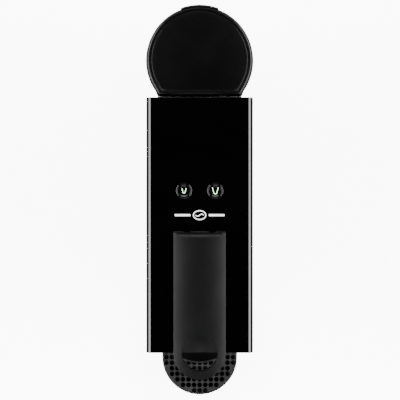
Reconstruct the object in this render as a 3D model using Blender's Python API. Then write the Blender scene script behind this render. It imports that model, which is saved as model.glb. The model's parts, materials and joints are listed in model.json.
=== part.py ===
"""Pod coffee machine: body, lever-driven brew unit, water tank, drawer and drip tray.

Frame: origin under the middle of the machine on the surface it stands on,
front -Y, water tank +Y, up +Z. All lengths in metres.
"""
from math import asin, cos, degrees, radians, sin, sqrt, tan

import bmesh
import bpy
from mathutils import Vector

MM = 0.001

# ---------------------------------------------------------------- driving dimensions
WIDTH = 84.0 * MM                 # across the tank lid, the widest piece
DEPTH = 330.0 * MM                # drip tray front to lid tab
HEIGHT = 204.0 * MM               # crest of the lever

GAP = 0.3 * MM                    # between pieces that touch
SLIDE_GAP = 0.5 * MM              # between pieces that move past each other
WALL = 2.4 * MM                   # body mouldings
THIN_WALL = 1.6 * MM              # bowls and boxes
FRONT_Y = -DEPTH / 2
REAR_Y = DEPTH / 2

# tank outline, which settles where the body ends
LID_RADIUS = WIDTH / 2
TAB_PROUD = 0.7 * MM
TANK_Y = REAR_Y - TAB_PROUD - LID_RADIUS
TANK_LENGTH = 71.0 * MM           # flat front to lid tab
LID_FRONT_Y = REAR_Y - TANK_LENGTH
SIDE_RUN = 7.3 * MM               # straight sides between the round plan and the flat front
SIDE_TURN = asin((TANK_Y - LID_FRONT_Y - SIDE_RUN) / LID_RADIUS)

# body shell
BODY_WIDTH = WIDTH - 1.0 * MM
BODY_TOP = HEIGHT - 12.0 * MM
BODY_REAR_Y = LID_FRONT_Y - 1.0 * MM
HEAD_FRONT_Y = FRONT_Y + 60.0 * MM
COLUMN_FRONT_Y = FRONT_Y + 77.0 * MM
CHIN_LOW = BODY_TOP - 84.0 * MM   # where the column starts to swell into the head
CHIN_HIGH = BODY_TOP - 60.0 * MM
SHELL_BOTTOM = 4.5 * MM
EDGE_RADIUS = 5.0 * MM            # long top edges
EDGE_STEPS = 6

# base and feet
BASE_LOW = 4.0 * MM
BASE_THICKNESS = 3.4 * MM
BASE_FRONT_Y = COLUMN_FRONT_Y + 2.0 * MM
FOOT_RADIUS = 7.0 * MM
FOOT_X = 26.0 * MM
FOOT_FRONT_Y = COLUMN_FRONT_Y + 16.0 * MM
FOOT_REAR_Y = REAR_Y - 31.0 * MM
VENT_COUNT = 6
VENT_LOW = BODY_TOP - 57.0 * MM
VENT_PITCH = 6.0 * MM
VENT_HEIGHT = 2.4 * MM
VENT_HALF = 22.0 * MM
SCREW_RADIUS = 1.5 * MM
SCREW_HEAD_HEIGHT = 1.6 * MM
SCREW_HEAD_RADIUS = 2.8 * MM
SCREW_X = 30.0 * MM
SCREW_YS = (COLUMN_FRONT_Y + 38.0 * MM, BODY_REAR_Y - 9.0 * MM)

# lever
LEVER_HALF = 20.0 * MM
PIVOT_Y = HEAD_FRONT_Y + 88.7 * MM
BARREL_RADIUS = 5.7 * MM
RING_Y = HEAD_FRONT_Y + 1.0 * MM
RING_HOLE_RADIUS = 13.9 * MM
LEVER_CROWN = 2.6 * MM            # fall of the top from its middle to its long edges
LEVER_FALL = 0.8 * MM             # slope of the top, pivot to tip
LEVER_UNDER = 1.2 * MM            # air between body top and lever
LEVER_SKIN = 2.6 * MM
LEVER_OPEN_DEG = 76.0
SHAFT_RADIUS = 1.5 * MM
LUG_X = 8.0 * MM
LUG_THICKNESS = 4.0 * MM
LUG_RADIUS = 2.6 * MM

# lever bed
CHUTE_REAR_Y = HEAD_FRONT_Y + 58.0 * MM
CHUTE_LENGTH = 29.0 * MM
CHUTE_HALF = 18.6 * MM            # a capsule's flange passes with room

# crank that drives the brew carriage
CRANK_LENGTH = 24.0 * MM
CRANK_REST_DEG = 14.0             # behind vertical with the lever down
CRANK_X = 14.0 * MM
CRANK_THICKNESS = 3.0 * MM
CRANK_HALF = 2.2 * MM
CRANK_END_RADIUS = 2.8 * MM
PIN_RADIUS = 1.5 * MM

# brew unit
BREW_Z = BODY_TOP - 42.0 * MM
INJECTION_RADIUS = 20.0 * MM
INJECTION_FRONT_Y = HEAD_FRONT_Y + 75.0 * MM
INJECTION_DEPTH = 12.2 * MM
INLET_LENGTH = 9.8 * MM           # spigot behind the injection head
INLET_RADIUS = 4.2 * MM
WATER_BORE = 1.6 * MM
BLADE_PITCH = 8.0 * MM
SEAL_INNER = 16.5 * MM
SEAL_OUTER = 19.5 * MM
CAPSULE_DEPTH = 28.0 * MM
CARRIAGE_THICKNESS = 8.0 * MM
CARRIAGE_HEIGHT = 36.0 * MM
ARM_INNER_X = 20.5 * MM
ARM_THICKNESS = 3.0 * MM
ARM_HEIGHT = 12.0 * MM
FORK_WALL = 2.6 * MM              # either side of the pin's slot
PLATE_RADIUS = 16.0 * MM
TOOTH_PITCH = 6.0 * MM
TOOTH_HALF = 1.2 * MM
FRAME_WALL = 2.4 * MM
FRAME_FRONT_Y = HEAD_FRONT_Y + 11.0 * MM
FRAME_REAR_Y = HEAD_FRONT_Y + 101.0 * MM
FRAME_STRIP_REAR_Y = HEAD_FRONT_Y + 93.0 * MM
FRAME_LOW = BREW_Z - 26.0 * MM
FRAME_HIGH = BREW_Z + 30.0 * MM

# buttons
BUTTON_X = 12.1 * MM
BUTTON_Y = HEAD_FRONT_Y + 125.6 * MM
BUTTON_RADIUS = 5.4 * MM
BUTTON_TRAVEL = 1.2 * MM
BUTTON_HOLE_GAP = 0.4 * MM
BUTTON_SUNK = 0.3 * MM            # rim below the body's top
BUTTON_DISH = 0.8 * MM
BUTTON_RIM = 0.4 * MM
FLANGE_WIDTH = 1.2 * MM
FLANGE_THICKNESS = 1.6 * MM
STEM_LENGTH = 1.0 * MM
BOARD_THICKNESS = 1.6 * MM

# outlet
NOSE_RADIUS = 34.0 * MM
NOSE_FRONT_Y = HEAD_FRONT_Y - 8.6 * MM
NOSE_LOW = BODY_TOP - 64.0 * MM
NOSE_HIGH = BODY_TOP - 8.0 * MM
NOSE_WALL = 2.0 * MM
SPOUT_Y = HEAD_FRONT_Y + 1.0 * MM
SPOUT_RADIUS = 5.2 * MM
SPOUT_BORE = 3.6 * MM
SPOUT_LOW = CHIN_LOW - 1.0 * MM
SPOUT_HIGH = BREW_Z - 4.0 * MM
FASCIA_INSET = 2.0 * MM
DUCT_HALF = 5.0 * MM
DUCT_WALL = 1.4 * MM
DUCT_HEIGHT = 7.0 * MM
DUCT_LOW = BREW_Z - 33.0 * MM     # at its front end
DUCT_FALL = 6.0 * MM
DUCT_REAR_Y = HEAD_FRONT_Y + 42.0 * MM

# drawer and drip tray
TRAY_RADIUS = WIDTH / 2 - 7.7 * MM
TRAY_LOW = 1.0 * MM
TRAY_HIGH = 27.0 * MM
GRID_THICKNESS = 2.8 * MM
GRID_PITCH = 5.1 * MM
GRID_HOLE_RADIUS = 2.25 * MM
GRID_FIELD_RADIUS = TRAY_RADIUS - 2.7 * MM
DRAWER_TOP = CHIN_LOW - 2.0 * MM
CONTAINER_REAR_Y = HEAD_FRONT_Y + 72.0 * MM
CONTAINER_HALF = WIDTH / 2 - 8.0 * MM
PANEL_THICKNESS = 3.5 * MM
DRAWER_PLATE = 2.4 * MM

# tank
LID_TOP = BODY_TOP - 1.0 * MM
LID_THICKNESS = 3.0 * MM
TAB_HALF = 14.8 * MM
TANK_INSET = 1.0 * MM             # tank wall inside the lid's edge
TANK_WALL = 2.0 * MM
TANK_LOW = 30.0 * MM
TANK_HIGH = LID_TOP - 9.0 * MM
SEAT_HIGH = 28.0 * MM
SEAT_INSET = 2.0 * MM
LID_BARREL_RADIUS = 3.6 * MM
LID_PIN_RADIUS = 0.9 * MM
LID_PIN_HALF = 23.0 * MM
LID_LUG_PAIR = (16.0 * MM, 20.0 * MM)
NECK_RADIUS = 7.0 * MM
NECK_BORE = 5.0 * MM
NECK_LENGTH = 5.8 * MM
CONNECTOR_LOW = 12.0 * MM
CONNECTOR_RADIUS = 10.0 * MM
TANK_SPIGOT_Y = TANK_Y - 17.0 * MM
CONNECTOR_FLOOR = 20.0 * MM       # where the tank's neck comes to rest
GLAND_RADIUS = 6.0 * MM
GLAND_BORE = 3.7 * MM
GLAND_Z = 17.0 * MM
GLAND_FLANGE = 1.8 * MM
TANK_HOSE_Z = 17.0 * MM
SPIGOT_RADIUS = 2.4 * MM
SPIGOT_BORE = 1.4 * MM
HOSE_RADIUS = 2.5 * MM
HOSE_HOLE_RADIUS = HOSE_RADIUS + 1.5 * MM

# ---------------------------------------------------------------- derived places
BODY_HALF = BODY_WIDTH / 2
INNER_HALF = BODY_HALF - WALL
PANEL_HALF = INNER_HALF - 2 * GAP
TOP_UNDER = BODY_TOP - WALL
PIVOT_Z = HEIGHT - BARREL_RADIUS
LEVER_LOW = BODY_TOP + LEVER_UNDER
CRANK_REST = radians(CRANK_REST_DEG)
LEVER_OPEN = radians(LEVER_OPEN_DEG)
CARRIAGE_TRAVEL = CRANK_LENGTH * (sin(CRANK_REST) + sin(LEVER_OPEN - CRANK_REST))
CARRIAGE_Y = INJECTION_FRONT_Y - CAPSULE_DEPTH
PIN_Y = PIVOT_Y + CRANK_LENGTH * sin(CRANK_REST)
PIN_Z = PIVOT_Z - CRANK_LENGTH * cos(CRANK_REST)
OPENING_REAR_Y = PIVOT_Y + 4.8 * MM
OPENING_HALF = LEVER_HALF - 0.7 * MM
TRAY_Y = FRONT_Y + TRAY_RADIUS
TRAY_REAR_Y = COLUMN_FRONT_Y - 0.9 * MM
BASE_HIGH = BASE_LOW + BASE_THICKNESS
PLATE_LOW = BASE_HIGH + GAP
PLATE_HIGH = PLATE_LOW + DRAWER_PLATE
NOSE_Y = NOSE_FRONT_Y + NOSE_RADIUS
LID_PIVOT_Y = LID_FRONT_Y + LID_BARREL_RADIUS
LID_PIVOT_Z = LID_TOP - LID_BARREL_RADIUS
HOUSE_FRONT_Y = CONTAINER_REAR_Y + 3.5 * MM   # bulkhead between capsule container and machinery
INLET_Y = INJECTION_FRONT_Y + INJECTION_DEPTH + INLET_LENGTH


# ---------------------------------------------------------------- modelling helpers
def clear_scene():
    """Remove every object so the model starts empty."""
    for thing in list(bpy.data.objects):
        bpy.data.objects.remove(thing, do_unlink=True)


def material(name, colour, roughness, metallic=0.0, coat=0.0, alpha=1.0):
    """Principled material with the piece's colour, roughness and metallic value."""
    made = bpy.data.materials.new(name)
    made.use_nodes = True
    shader = made.node_tree.nodes["Principled BSDF"]
    shader.inputs["Base Color"].default_value = (*colour, 1.0)
    shader.inputs["Roughness"].default_value = roughness
    shader.inputs["Metallic"].default_value = metallic
    shader.inputs["Coat Weight"].default_value = coat
    shader.inputs["Alpha"].default_value = alpha
    made.diffuse_color = (*colour, alpha)
    return made


def arc(centre_u, centre_v, radius, start_deg, end_deg, steps):
    """Points of an arc in a plane, both ends included."""
    points = []
    for step in range(steps + 1):
        angle = radians(start_deg + (end_deg - start_deg) * step / steps)
        points.append((centre_u + radius * cos(angle), centre_v + radius * sin(angle)))
    return points


def circle(centre_u, centre_v, radius, sides):
    """Points of a full circle, first point not repeated."""
    return arc(centre_u, centre_v, radius, 0.0, 360.0, sides)[:-1]


def place(point, height, axis):
    """World point of an outline point (u, v) at a height along an axis."""
    u, v = point
    if axis == "X":
        return Vector((height, u, v))
    if axis == "Y":
        return Vector((u, height, v))
    return Vector((u, v, height))


def prism(outline, low, high, axis="Z", shape=None):
    """Outline pushed along an axis: (x, y) for Z, (x, z) for Y and (y, z) for X."""
    shape = shape or bmesh.new()
    bottom = [shape.verts.new(place(point, low, axis)) for point in outline]
    top = [shape.verts.new(place(point, high, axis)) for point in outline]
    count = len(outline)
    faces = [shape.faces.new(bottom), shape.faces.new(list(reversed(top)))]
    for index in range(count):
        after = (index + 1) % count
        faces.append(shape.faces.new((bottom[index], top[index], top[after], bottom[after])))
    bmesh.ops.recalc_face_normals(shape, faces=faces)
    return shape


def block(x_pair, y_pair, z_pair, shape=None):
    """Rectangular block between pairs of coordinates."""
    (left, right), (front, rear) = x_pair, y_pair
    outline = [(left, front), (right, front), (right, rear), (left, rear)]
    return prism(outline, z_pair[0], z_pair[1], "Z", shape)


def rod(centre, radius, low, high, axis="Z", sides=24, shape=None):
    """Round bar along an axis."""
    return prism(circle(centre[0], centre[1], radius, sides), low, high, axis, shape)


def turned(profile, centre, axis="Z", sides=24, shape=None):
    """Closed profile of (radius, height) points turned about an axis through centre (u, v)."""
    shape = shape or bmesh.new()
    rings = []
    for radius, height in profile:
        if radius < 1e-9:
            rings.append([shape.verts.new(place(centre, height, axis))])
            continue
        points = circle(centre[0], centre[1], radius, sides)
        rings.append([shape.verts.new(place(point, height, axis)) for point in points])
    faces = []
    on_axis = profile[0][0] < 1e-9 and profile[-1][0] < 1e-9
    last = len(rings) - 1 if on_axis else len(rings)
    for index in range(last):
        faces += bridge(shape, rings[index], rings[(index + 1) % len(rings)], sides)
    bmesh.ops.recalc_face_normals(shape, faces=faces)
    return shape


def bridge(shape, first, second, sides):
    """Faces between two rings, either of which may be a single point."""
    faces = []
    for index in range(sides):
        after = (index + 1) % sides
        corners = [first[index % len(first)], first[after % len(first)],
                   second[after % len(second)], second[index % len(second)]]
        unique = list(dict.fromkeys(corners))
        if len(unique) > 2:
            faces.append(shape.faces.new(unique))
    return faces


def finish(name, shape, finish_material, pivot=None):
    """Object from a shape in world coordinates, hung on its joint's empty if it has one."""
    mesh = bpy.data.meshes.new(name)
    shape.to_mesh(mesh)
    shape.free()
    mesh.materials.append(finish_material)
    mesh.shade_smooth()
    mesh.set_sharp_from_angle(angle=radians(35))
    made = bpy.data.objects.new(name, mesh)
    bpy.context.scene.collection.objects.link(made)
    if pivot:
        made.parent = pivot
        made.location = -world_place(pivot)
    return made


def world_place(empty):
    """World location of an empty, parents included."""
    total = Vector((0.0, 0.0, 0.0))
    while empty:
        total += empty.location
        empty = empty.parent
    return total


def axis_empty(name, point, parent=None):
    """Empty on a joint's axis, which carries the pieces that move with it."""
    empty = bpy.data.objects.new(name, None)
    empty.empty_display_size = 0.01
    bpy.context.scene.collection.objects.link(empty)
    empty.location = Vector(point)
    if parent:
        empty.parent = parent
        empty.location = Vector(point) - world_place(parent)
    return empty


def combine(target, shape, operation):
    """Boolean with a hidden tool that follows its target."""
    name = f"{target.name}_tool_{len(target.modifiers)}"
    mesh = bpy.data.meshes.new(name)
    shape.to_mesh(mesh)
    shape.free()
    tool = bpy.data.objects.new(name, mesh)
    bpy.context.scene.collection.objects.link(tool)
    tool.parent = target
    tool.hide_render = True
    tool.display_type = "WIRE"
    modifier = target.modifiers.new(name, "BOOLEAN")
    modifier.operation = operation
    modifier.solver = "EXACT"
    modifier.object = tool
    return target


def add(target, shape):
    """Join a shape to a piece."""
    return combine(target, shape, "UNION")


def cut(target, shape):
    """Take a shape away from a piece."""
    return combine(target, shape, "DIFFERENCE")


def keep(target, shape):
    """Keep only what lies inside a shape."""
    return combine(target, shape, "INTERSECT")


def mirrored(pair):
    """Both sides of the machine: the coordinate pair and its mirror across X."""
    low, high = pair
    return ((low, high), (-high, -low))


def hose(name, points, radius, finish_material):
    """Round hose along a smooth curve through its route's points."""
    curve = bpy.data.curves.new(name, "CURVE")
    curve.dimensions = "3D"
    curve.bevel_depth = radius
    curve.bevel_resolution = 2
    curve.use_fill_caps = True
    smooth = smooth_route(points, 4)
    spline = curve.splines.new("POLY")
    spline.points.add(len(smooth) - 1)
    for target, point in zip(spline.points, smooth):
        target.co = (*point, 1.0)
    curve.materials.append(finish_material)
    made = bpy.data.objects.new(name, curve)
    bpy.context.scene.collection.objects.link(made)
    return made


def smooth_route(points, steps):
    """Catmull-Rom points between route points, with the first and last stretch straight."""
    route = [Vector(point) for point in points]
    padded = [2 * route[0] - route[1], *route, 2 * route[-1] - route[-2]]
    result = []
    for index in range(1, len(padded) - 2):
        before, start, end, after = padded[index - 1:index + 3]
        straight = index in (1, len(padded) - 3)
        for step in range(1 if straight else steps):
            t = step / steps
            result.append(0.5 * (2 * start + (end - before) * t
                                 + (2 * before - 5 * start + 4 * end - after) * t ** 2
                                 + (3 * start - before - 3 * end + after) * t ** 3))
    result.append(route[-1])
    return result


# ---------------------------------------------------------------- body
def head_front(height):
    """Front edge of the body at a height: column below, head above, a soft S between."""
    share = (height - CHIN_LOW) / (CHIN_HIGH - CHIN_LOW)
    share = min(max(share, 0.0), 1.0)
    share = share * share * (3.0 - 2.0 * share)
    return COLUMN_FRONT_Y + (HEAD_FRONT_Y - COLUMN_FRONT_Y) * share


def front_line(low, high, inset, steps=10):
    """(y, z) points down the front edge, pulled back by an inset."""
    inner = [CHIN_LOW + (CHIN_HIGH - CHIN_LOW) * step / steps for step in range(steps + 1)]
    heights = [low, *[height for height in inner if low < height < high], high]
    return [(head_front(height) + inset, height) for height in heights]


def shell_section():
    """(x, z) outline of the inverted U with rounded long edges."""
    right = BODY_HALF - EDGE_RADIUS
    high = BODY_TOP - EDGE_RADIUS
    inner = EDGE_RADIUS - WALL
    outside = arc(right, high, EDGE_RADIUS, 0.0, 90.0, EDGE_STEPS)
    outside += arc(-right, high, EDGE_RADIUS, 90.0, 180.0, EDGE_STEPS)
    inside = arc(-right, high, inner, 180.0, 90.0, EDGE_STEPS)
    inside += arc(right, high, inner, 90.0, 0.0, EDGE_STEPS)
    return ([(BODY_HALF, SHELL_BOTTOM), *outside, (-BODY_HALF, SHELL_BOTTOM),
             (-INNER_HALF, SHELL_BOTTOM), *inside, (INNER_HALF, SHELL_BOTTOM)])


def make_shell(gloss):
    shell = finish("body_shell", prism(shell_section(), HEAD_FRONT_Y - MM, BODY_REAR_Y, "Y"), gloss)
    beyond = HEAD_FRONT_Y - 40 * MM
    outline = front_line(SHELL_BOTTOM - MM, BODY_TOP + MM, 0.0)
    outline += [(beyond, BODY_TOP + MM), (beyond, SHELL_BOTTOM - MM)]
    cut(shell, prism(outline, -BODY_WIDTH, BODY_WIDTH, "X"))
    opening = block((-OPENING_HALF, OPENING_HALF), (HEAD_FRONT_Y - 2 * MM, OPENING_REAR_Y),
                    (TOP_UNDER - MM, BODY_TOP + MM))
    for side in (-1, 1):
        rod((side * BUTTON_X, BUTTON_Y), BUTTON_RADIUS + BUTTON_HOLE_GAP, TOP_UNDER - MM,
            BODY_TOP + MM, shape=opening)
    cut(shell, opening)
    return shell


def make_lever_bed(matte):
    """Insert under the lever: capsule chute, crank slots and the lugs that carry the shaft."""
    top = BODY_TOP - 0.6 * MM
    half = OPENING_HALF - GAP
    wing_half = INNER_HALF - (EDGE_RADIUS - WALL) - GAP
    wing_rear = CHUTE_REAR_Y + 1.0 * MM
    front = HEAD_FRONT_Y + 0.4 * MM
    wing_high = TOP_UNDER - GAP
    wing_low = wing_high - 2.0 * MM
    wings = block((-wing_half, wing_half), (front, wing_rear), (wing_low, wing_high))
    bed = finish("lever_bed", wings, matte)
    add(bed, block((-half, half), (front, OPENING_REAR_Y - GAP), (wing_low, top)))
    tongue_half = LUG_X + LUG_THICKNESS + 0.6 * MM
    add(bed, block((-tongue_half, tongue_half), (wing_rear, PIVOT_Y + 13.3 * MM), (wing_low, wing_high)))
    lugs = bmesh.new()
    for low, high in mirrored((LUG_X, LUG_X + LUG_THICKNESS)):
        outline = [(PIVOT_Y + LUG_RADIUS, wing_high - MM)]
        outline += arc(PIVOT_Y, PIVOT_Z, LUG_RADIUS, 0.0, 180.0, 8)
        outline += [(PIVOT_Y - LUG_RADIUS, wing_high - MM)]
        prism(outline, low, high, "X", lugs)
    add(bed, lugs)
    cut(bed, block((-CHUTE_HALF, CHUTE_HALF), (CHUTE_REAR_Y - CHUTE_LENGTH, CHUTE_REAR_Y),
                   (wing_low - MM, BODY_TOP)))
    slots = bmesh.new()
    for low, high in mirrored((CRANK_X - SLIDE_GAP, OPENING_HALF + MM)):
        block((low, high), (CHUTE_REAR_Y + 3.5 * MM, OPENING_REAR_Y + MM), (wing_low - MM, BODY_TOP), slots)
    cut(bed, slots)
    cut(bed, rod((PIVOT_Y, PIVOT_Z), SHAFT_RADIUS + GAP, -half, half, "X", 16))
    return bed


def make_fascia(matte):
    """Matte front of the head, which follows the shell's front line."""
    low = CHIN_LOW - GAP
    high = TOP_UNDER - GAP - 2.0 * MM - GAP
    front = front_line(low, high, FASCIA_INSET)
    rear = front_line(low, high, FASCIA_INSET + WALL)
    fascia = finish("fascia", prism(front + rear[::-1], -PANEL_HALF, PANEL_HALF, "X"), matte)
    cut(fascia, rod((0.0, SPOUT_Y), SPOUT_RADIUS + SLIDE_GAP, low - MM, SPOUT_HIGH + MM))
    window = DUCT_HALF + 0.6 * MM
    cut(fascia, block((-window, window), (SPOUT_Y - 4.0 * MM, SPOUT_Y + 24.0 * MM),
                      (DUCT_LOW - 2.0 * MM, DUCT_LOW + 2 * DUCT_HEIGHT)))
    return fascia


def make_nose(satin):
    """Half-round outlet housing on the front of the head, open below and behind."""
    rear = HEAD_FRONT_Y + FASCIA_INSET - GAP
    nose = finish("outlet_nose", rod((0.0, NOSE_Y), NOSE_RADIUS, NOSE_LOW, NOSE_HIGH, sides=64), satin)
    wide = 2 * NOSE_RADIUS
    keep(nose, block((-wide, wide), (NOSE_FRONT_Y - wide, rear), (0.0, BODY_TOP)))
    cut(nose, rod((0.0, NOSE_Y), NOSE_RADIUS - NOSE_WALL, NOSE_LOW - MM, NOSE_HIGH - NOSE_WALL, sides=64))
    return nose


def make_spout(satin):
    """Coffee outlet tube with a collar at its tip."""
    collar = SPOUT_RADIUS + 1.0 * MM
    profile = [(SPOUT_BORE, SPOUT_LOW), (collar - 0.4 * MM, SPOUT_LOW), (collar, SPOUT_LOW + 0.6 * MM),
               (collar, SPOUT_LOW + 5.0 * MM), (SPOUT_RADIUS, SPOUT_LOW + 6.0 * MM),
               (SPOUT_RADIUS, SPOUT_HIGH), (SPOUT_BORE, SPOUT_HIGH)]
    return finish("spout", turned(profile, (0.0, SPOUT_Y)), satin)


def make_back_and_base(matte, rubber, steel):
    rear = BODY_REAR_Y - GAP
    panel = finish("back_panel", block((-PANEL_HALF, PANEL_HALF), (rear - WALL, rear),
                                       (BASE_HIGH + GAP, TOP_UNDER - EDGE_RADIUS)), matte)
    vents = bmesh.new()
    for index in range(VENT_COUNT):
        low = VENT_LOW + VENT_PITCH * index
        block((-VENT_HALF, VENT_HALF), (rear - 2 * WALL, rear + WALL), (low, low + VENT_HEIGHT), vents)
    cut(panel, vents)
    cut(panel, rod((0.0, TANK_HOSE_Z), HOSE_HOLE_RADIUS, rear - 2 * WALL, rear + WALL, "Y", 20))

    seat = tank_outline(SEAT_INSET)
    outline = [(PANEL_HALF, BASE_FRONT_Y), (PANEL_HALF, rear), *seat, (-PANEL_HALF, rear),
               (-PANEL_HALF, BASE_FRONT_Y)]
    base = finish("base_plate", prism(outline, BASE_LOW, BASE_HIGH), matte)
    holes = bmesh.new()
    for name, x, y in screw_places():
        rod((x, y), SCREW_RADIUS + GAP, BASE_LOW - MM, BASE_HIGH + MM, sides=12, shape=holes)
    cut(base, holes)
    for name, x, y in screw_places():
        head = BASE_LOW - GAP
        under, tip = head - SCREW_HEAD_HEIGHT, BASE_HIGH + 0.1 * MM
        profile = [(0.0, under), (SCREW_HEAD_RADIUS, under), (SCREW_HEAD_RADIUS, head),
                   (SCREW_RADIUS, head), (SCREW_RADIUS, tip), (0.0, tip)]
        finish(name, turned(profile, (x, y), sides=12), steel)
    for name, x, y in foot_places():
        high = BASE_LOW - GAP
        profile = [(0.0, 0.0), (FOOT_RADIUS - 0.8 * MM, 0.0), (FOOT_RADIUS, 0.8 * MM),
                   (FOOT_RADIUS, high), (0.0, high)]
        finish(name, turned(profile, (x, y), sides=20), rubber)


def foot_places():
    places = []
    for end, y in (("front", FOOT_FRONT_Y), ("rear", FOOT_REAR_Y)):
        for side, x in (("left", -FOOT_X), ("right", FOOT_X)):
            places.append((f"foot_{end}_{side}", x, y))
    return places


def screw_places():
    places = []
    for end, y in zip(("front", "rear"), SCREW_YS):
        for side, x in (("left", -SCREW_X), ("right", SCREW_X)):
            places.append((f"base_screw_{end}_{side}", x, y))
    return places


def make_bulkhead(grey):
    """Wall between the capsule container and the machinery behind it."""
    high = BREW_Z - 29.0 * MM
    wall = block((-PANEL_HALF, PANEL_HALF), (HOUSE_FRONT_Y, HOUSE_FRONT_Y + 2.0 * MM), (PLATE_LOW, high))
    return finish("bulkhead", wall, grey)


# ---------------------------------------------------------------- lever and brew unit
def make_lever(matte, pivot):
    """Arched lever with a finger ring in front, a barrel at its pivot and two cranks."""
    tip = RING_Y - LEVER_HALF
    side = [(tip - MM, LEVER_LOW), (PIVOT_Y, LEVER_LOW)]
    side += arc(PIVOT_Y, PIVOT_Z, BARREL_RADIUS, -60.0, 90.0, 12)
    side += [(tip - MM, HEIGHT)]
    lever = finish("lever", prism(side, -LEVER_HALF - MM, LEVER_HALF + MM, "X"), matte, pivot)
    plan = [(-LEVER_HALF, 0.0), *arc(0.0, RING_Y, LEVER_HALF, 180.0, 360.0, 32), (LEVER_HALF, 0.0)]
    keep(lever, prism(plan, BREW_Z, HEIGHT + 20 * MM))
    keep(lever, crown_solid(tip - MM))
    cut(lever, rod((0.0, RING_Y), RING_HOLE_RADIUS, LEVER_LOW - MM, HEIGHT + MM, sides=40))
    hollow = crown_section(LEVER_SKIN, LEVER_HALF - LEVER_SKIN, LEVER_LOW - MM)
    ring_rear = RING_Y + RING_HOLE_RADIUS + 3.0 * MM
    cut(lever, prism(hollow, ring_rear, PIVOT_Y - BARREL_RADIUS - 2 * MM, "Y"))
    notches = bmesh.new()
    swept = LUG_RADIUS + 0.4 * MM
    for low, high in mirrored((LUG_X - SLIDE_GAP, LUG_X + LUG_THICKNESS + SLIDE_GAP)):
        block((low, high), (PIVOT_Y - swept, PIVOT_Y + 10 * MM), (LEVER_LOW - 4 * MM, PIVOT_Z + swept),
              notches)
    cut(lever, notches)
    add(lever, crank_arms())
    add(lever, crank_pins())
    cut(lever, rod((PIVOT_Y, PIVOT_Z), SHAFT_RADIUS + GAP, -LEVER_HALF - MM, LEVER_HALF + MM, "X", 16))
    return lever


def crown_solid(tip):
    """Space under the crowned top, which slopes down from the pivot to the tip."""
    shape = bmesh.new()
    rings = []
    for y, drop in ((PIVOT_Y + 2 * BARREL_RADIUS, 0.0), (PIVOT_Y, 0.0), (tip, LEVER_FALL)):
        section = crown_section(drop, LEVER_HALF, BREW_Z)
        rings.append([shape.verts.new(place(point, y, "Y")) for point in section])
    faces = [shape.faces.new(rings[0]), shape.faces.new(list(reversed(rings[-1])))]
    for first, second in zip(rings, rings[1:]):
        faces += bridge(shape, first, second, len(first))
    bmesh.ops.recalc_face_normals(shape, faces=faces)
    return shape


def crown_section(drop, half, low):
    """(x, z) section under the crowned top: an arc that falls towards both long edges."""
    points = [(-half, low), (half, low)]
    for step in range(13):
        x = half - 2 * half * step / 12
        points.append((x, HEIGHT - drop - LEVER_CROWN * (x / LEVER_HALF) ** 2))
    return points


def crank_arms():
    """Two arms down from the barrel, rounded about their pins."""
    shape = bmesh.new()
    along = Vector((sin(CRANK_REST), -cos(CRANK_REST)))
    across = Vector((along.y, -along.x))
    start = Vector((PIVOT_Y, PIVOT_Z)) + along * 3.0 * MM
    end = Vector((PIN_Y, PIN_Z))
    outline = [start + across * CRANK_HALF, start - across * CRANK_HALF]
    outline += arc(end.x, end.y, CRANK_END_RADIUS, CRANK_REST_DEG + 30.0, CRANK_REST_DEG - 210.0, 12)
    for low, high in mirrored((CRANK_X, CRANK_X + CRANK_THICKNESS)):
        prism(outline, low, high, "X", shape)
    return shape


def crank_pins():
    """A pin on each arm, which points outwards through the carriage's fork."""
    shape = bmesh.new()
    for low, high in mirrored((CRANK_X + MM, ARM_INNER_X + ARM_THICKNESS + GAP)):
        rod((PIN_Y, PIN_Z), PIN_RADIUS, low, high, "X", 16, shape)
    return shape


def pin_path(steps):
    """(y, z) of the crank pin seen from the carriage, lever down to lever open."""
    points = []
    for step in range(steps + 1):
        share = step / steps
        angle = CRANK_REST - LEVER_OPEN * share
        y = PIVOT_Y + CRANK_LENGTH * sin(angle) + CARRIAGE_TRAVEL * share
        points.append((y, PIVOT_Z - CRANK_LENGTH * cos(angle)))
    return points


def slot_shape(half, low, high):
    """Slot that the pin runs in, open at its top."""
    path = pin_path(24)
    floor = min(z for y, z in path) - half
    near = min(y for y, z in path) - half
    far = max(y for y, z in path) + half
    eased = half * 0.4
    outline = [(near, floor + half), (near + eased, floor + eased), (near + half, floor)]
    outline += [(far - half, floor), (far - eased, floor + eased), (far, floor + half)]
    outline += [(far, PIVOT_Z), (near, PIVOT_Z)]
    shape = bmesh.new()
    for pair in mirrored((low, high)):
        prism(outline, pair[0], pair[1], "X", shape)
    return shape


def make_carriage(grey, pivot):
    """Plate that presses the capsule, with side arms and forks driven by the crank pins."""
    half_height = CARRIAGE_HEIGHT / 2
    outer = ARM_INNER_X + ARM_THICKNESS
    low, high = BREW_Z - half_height, BREW_Z + half_height
    plate = block((-outer, outer), (CARRIAGE_Y - CARRIAGE_THICKNESS, CARRIAGE_Y), (low, high))
    carriage = finish("brew_carriage", plate, grey, pivot)
    half = PIN_RADIUS + 0.4 * MM
    pin_ys = [point[0] for point in pin_path(24)]
    front, rear = min(pin_ys) - half - FORK_WALL, max(pin_ys) + half + FORK_WALL
    fork_top = TOP_UNDER - 0.7 * MM
    arm_low = BREW_Z - ARM_HEIGHT / 2
    outline = [(CARRIAGE_Y - MM, arm_low), (rear, arm_low), (rear, fork_top), (front, fork_top),
               (front, arm_low + ARM_HEIGHT), (CARRIAGE_Y - MM, arm_low + ARM_HEIGHT)]
    arms = bmesh.new()
    for pair in mirrored((ARM_INNER_X, outer)):
        prism(outline, pair[0], pair[1], "X", arms)
    add(carriage, arms)
    cut(carriage, slot_shape(half, ARM_INNER_X - MM, outer + MM))
    cut(carriage, rod((0.0, BREW_Z), 4.0 * MM, CARRIAGE_Y - 2 * CARRIAGE_THICKNESS, CARRIAGE_Y + MM, "Y"))
    return carriage


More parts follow.
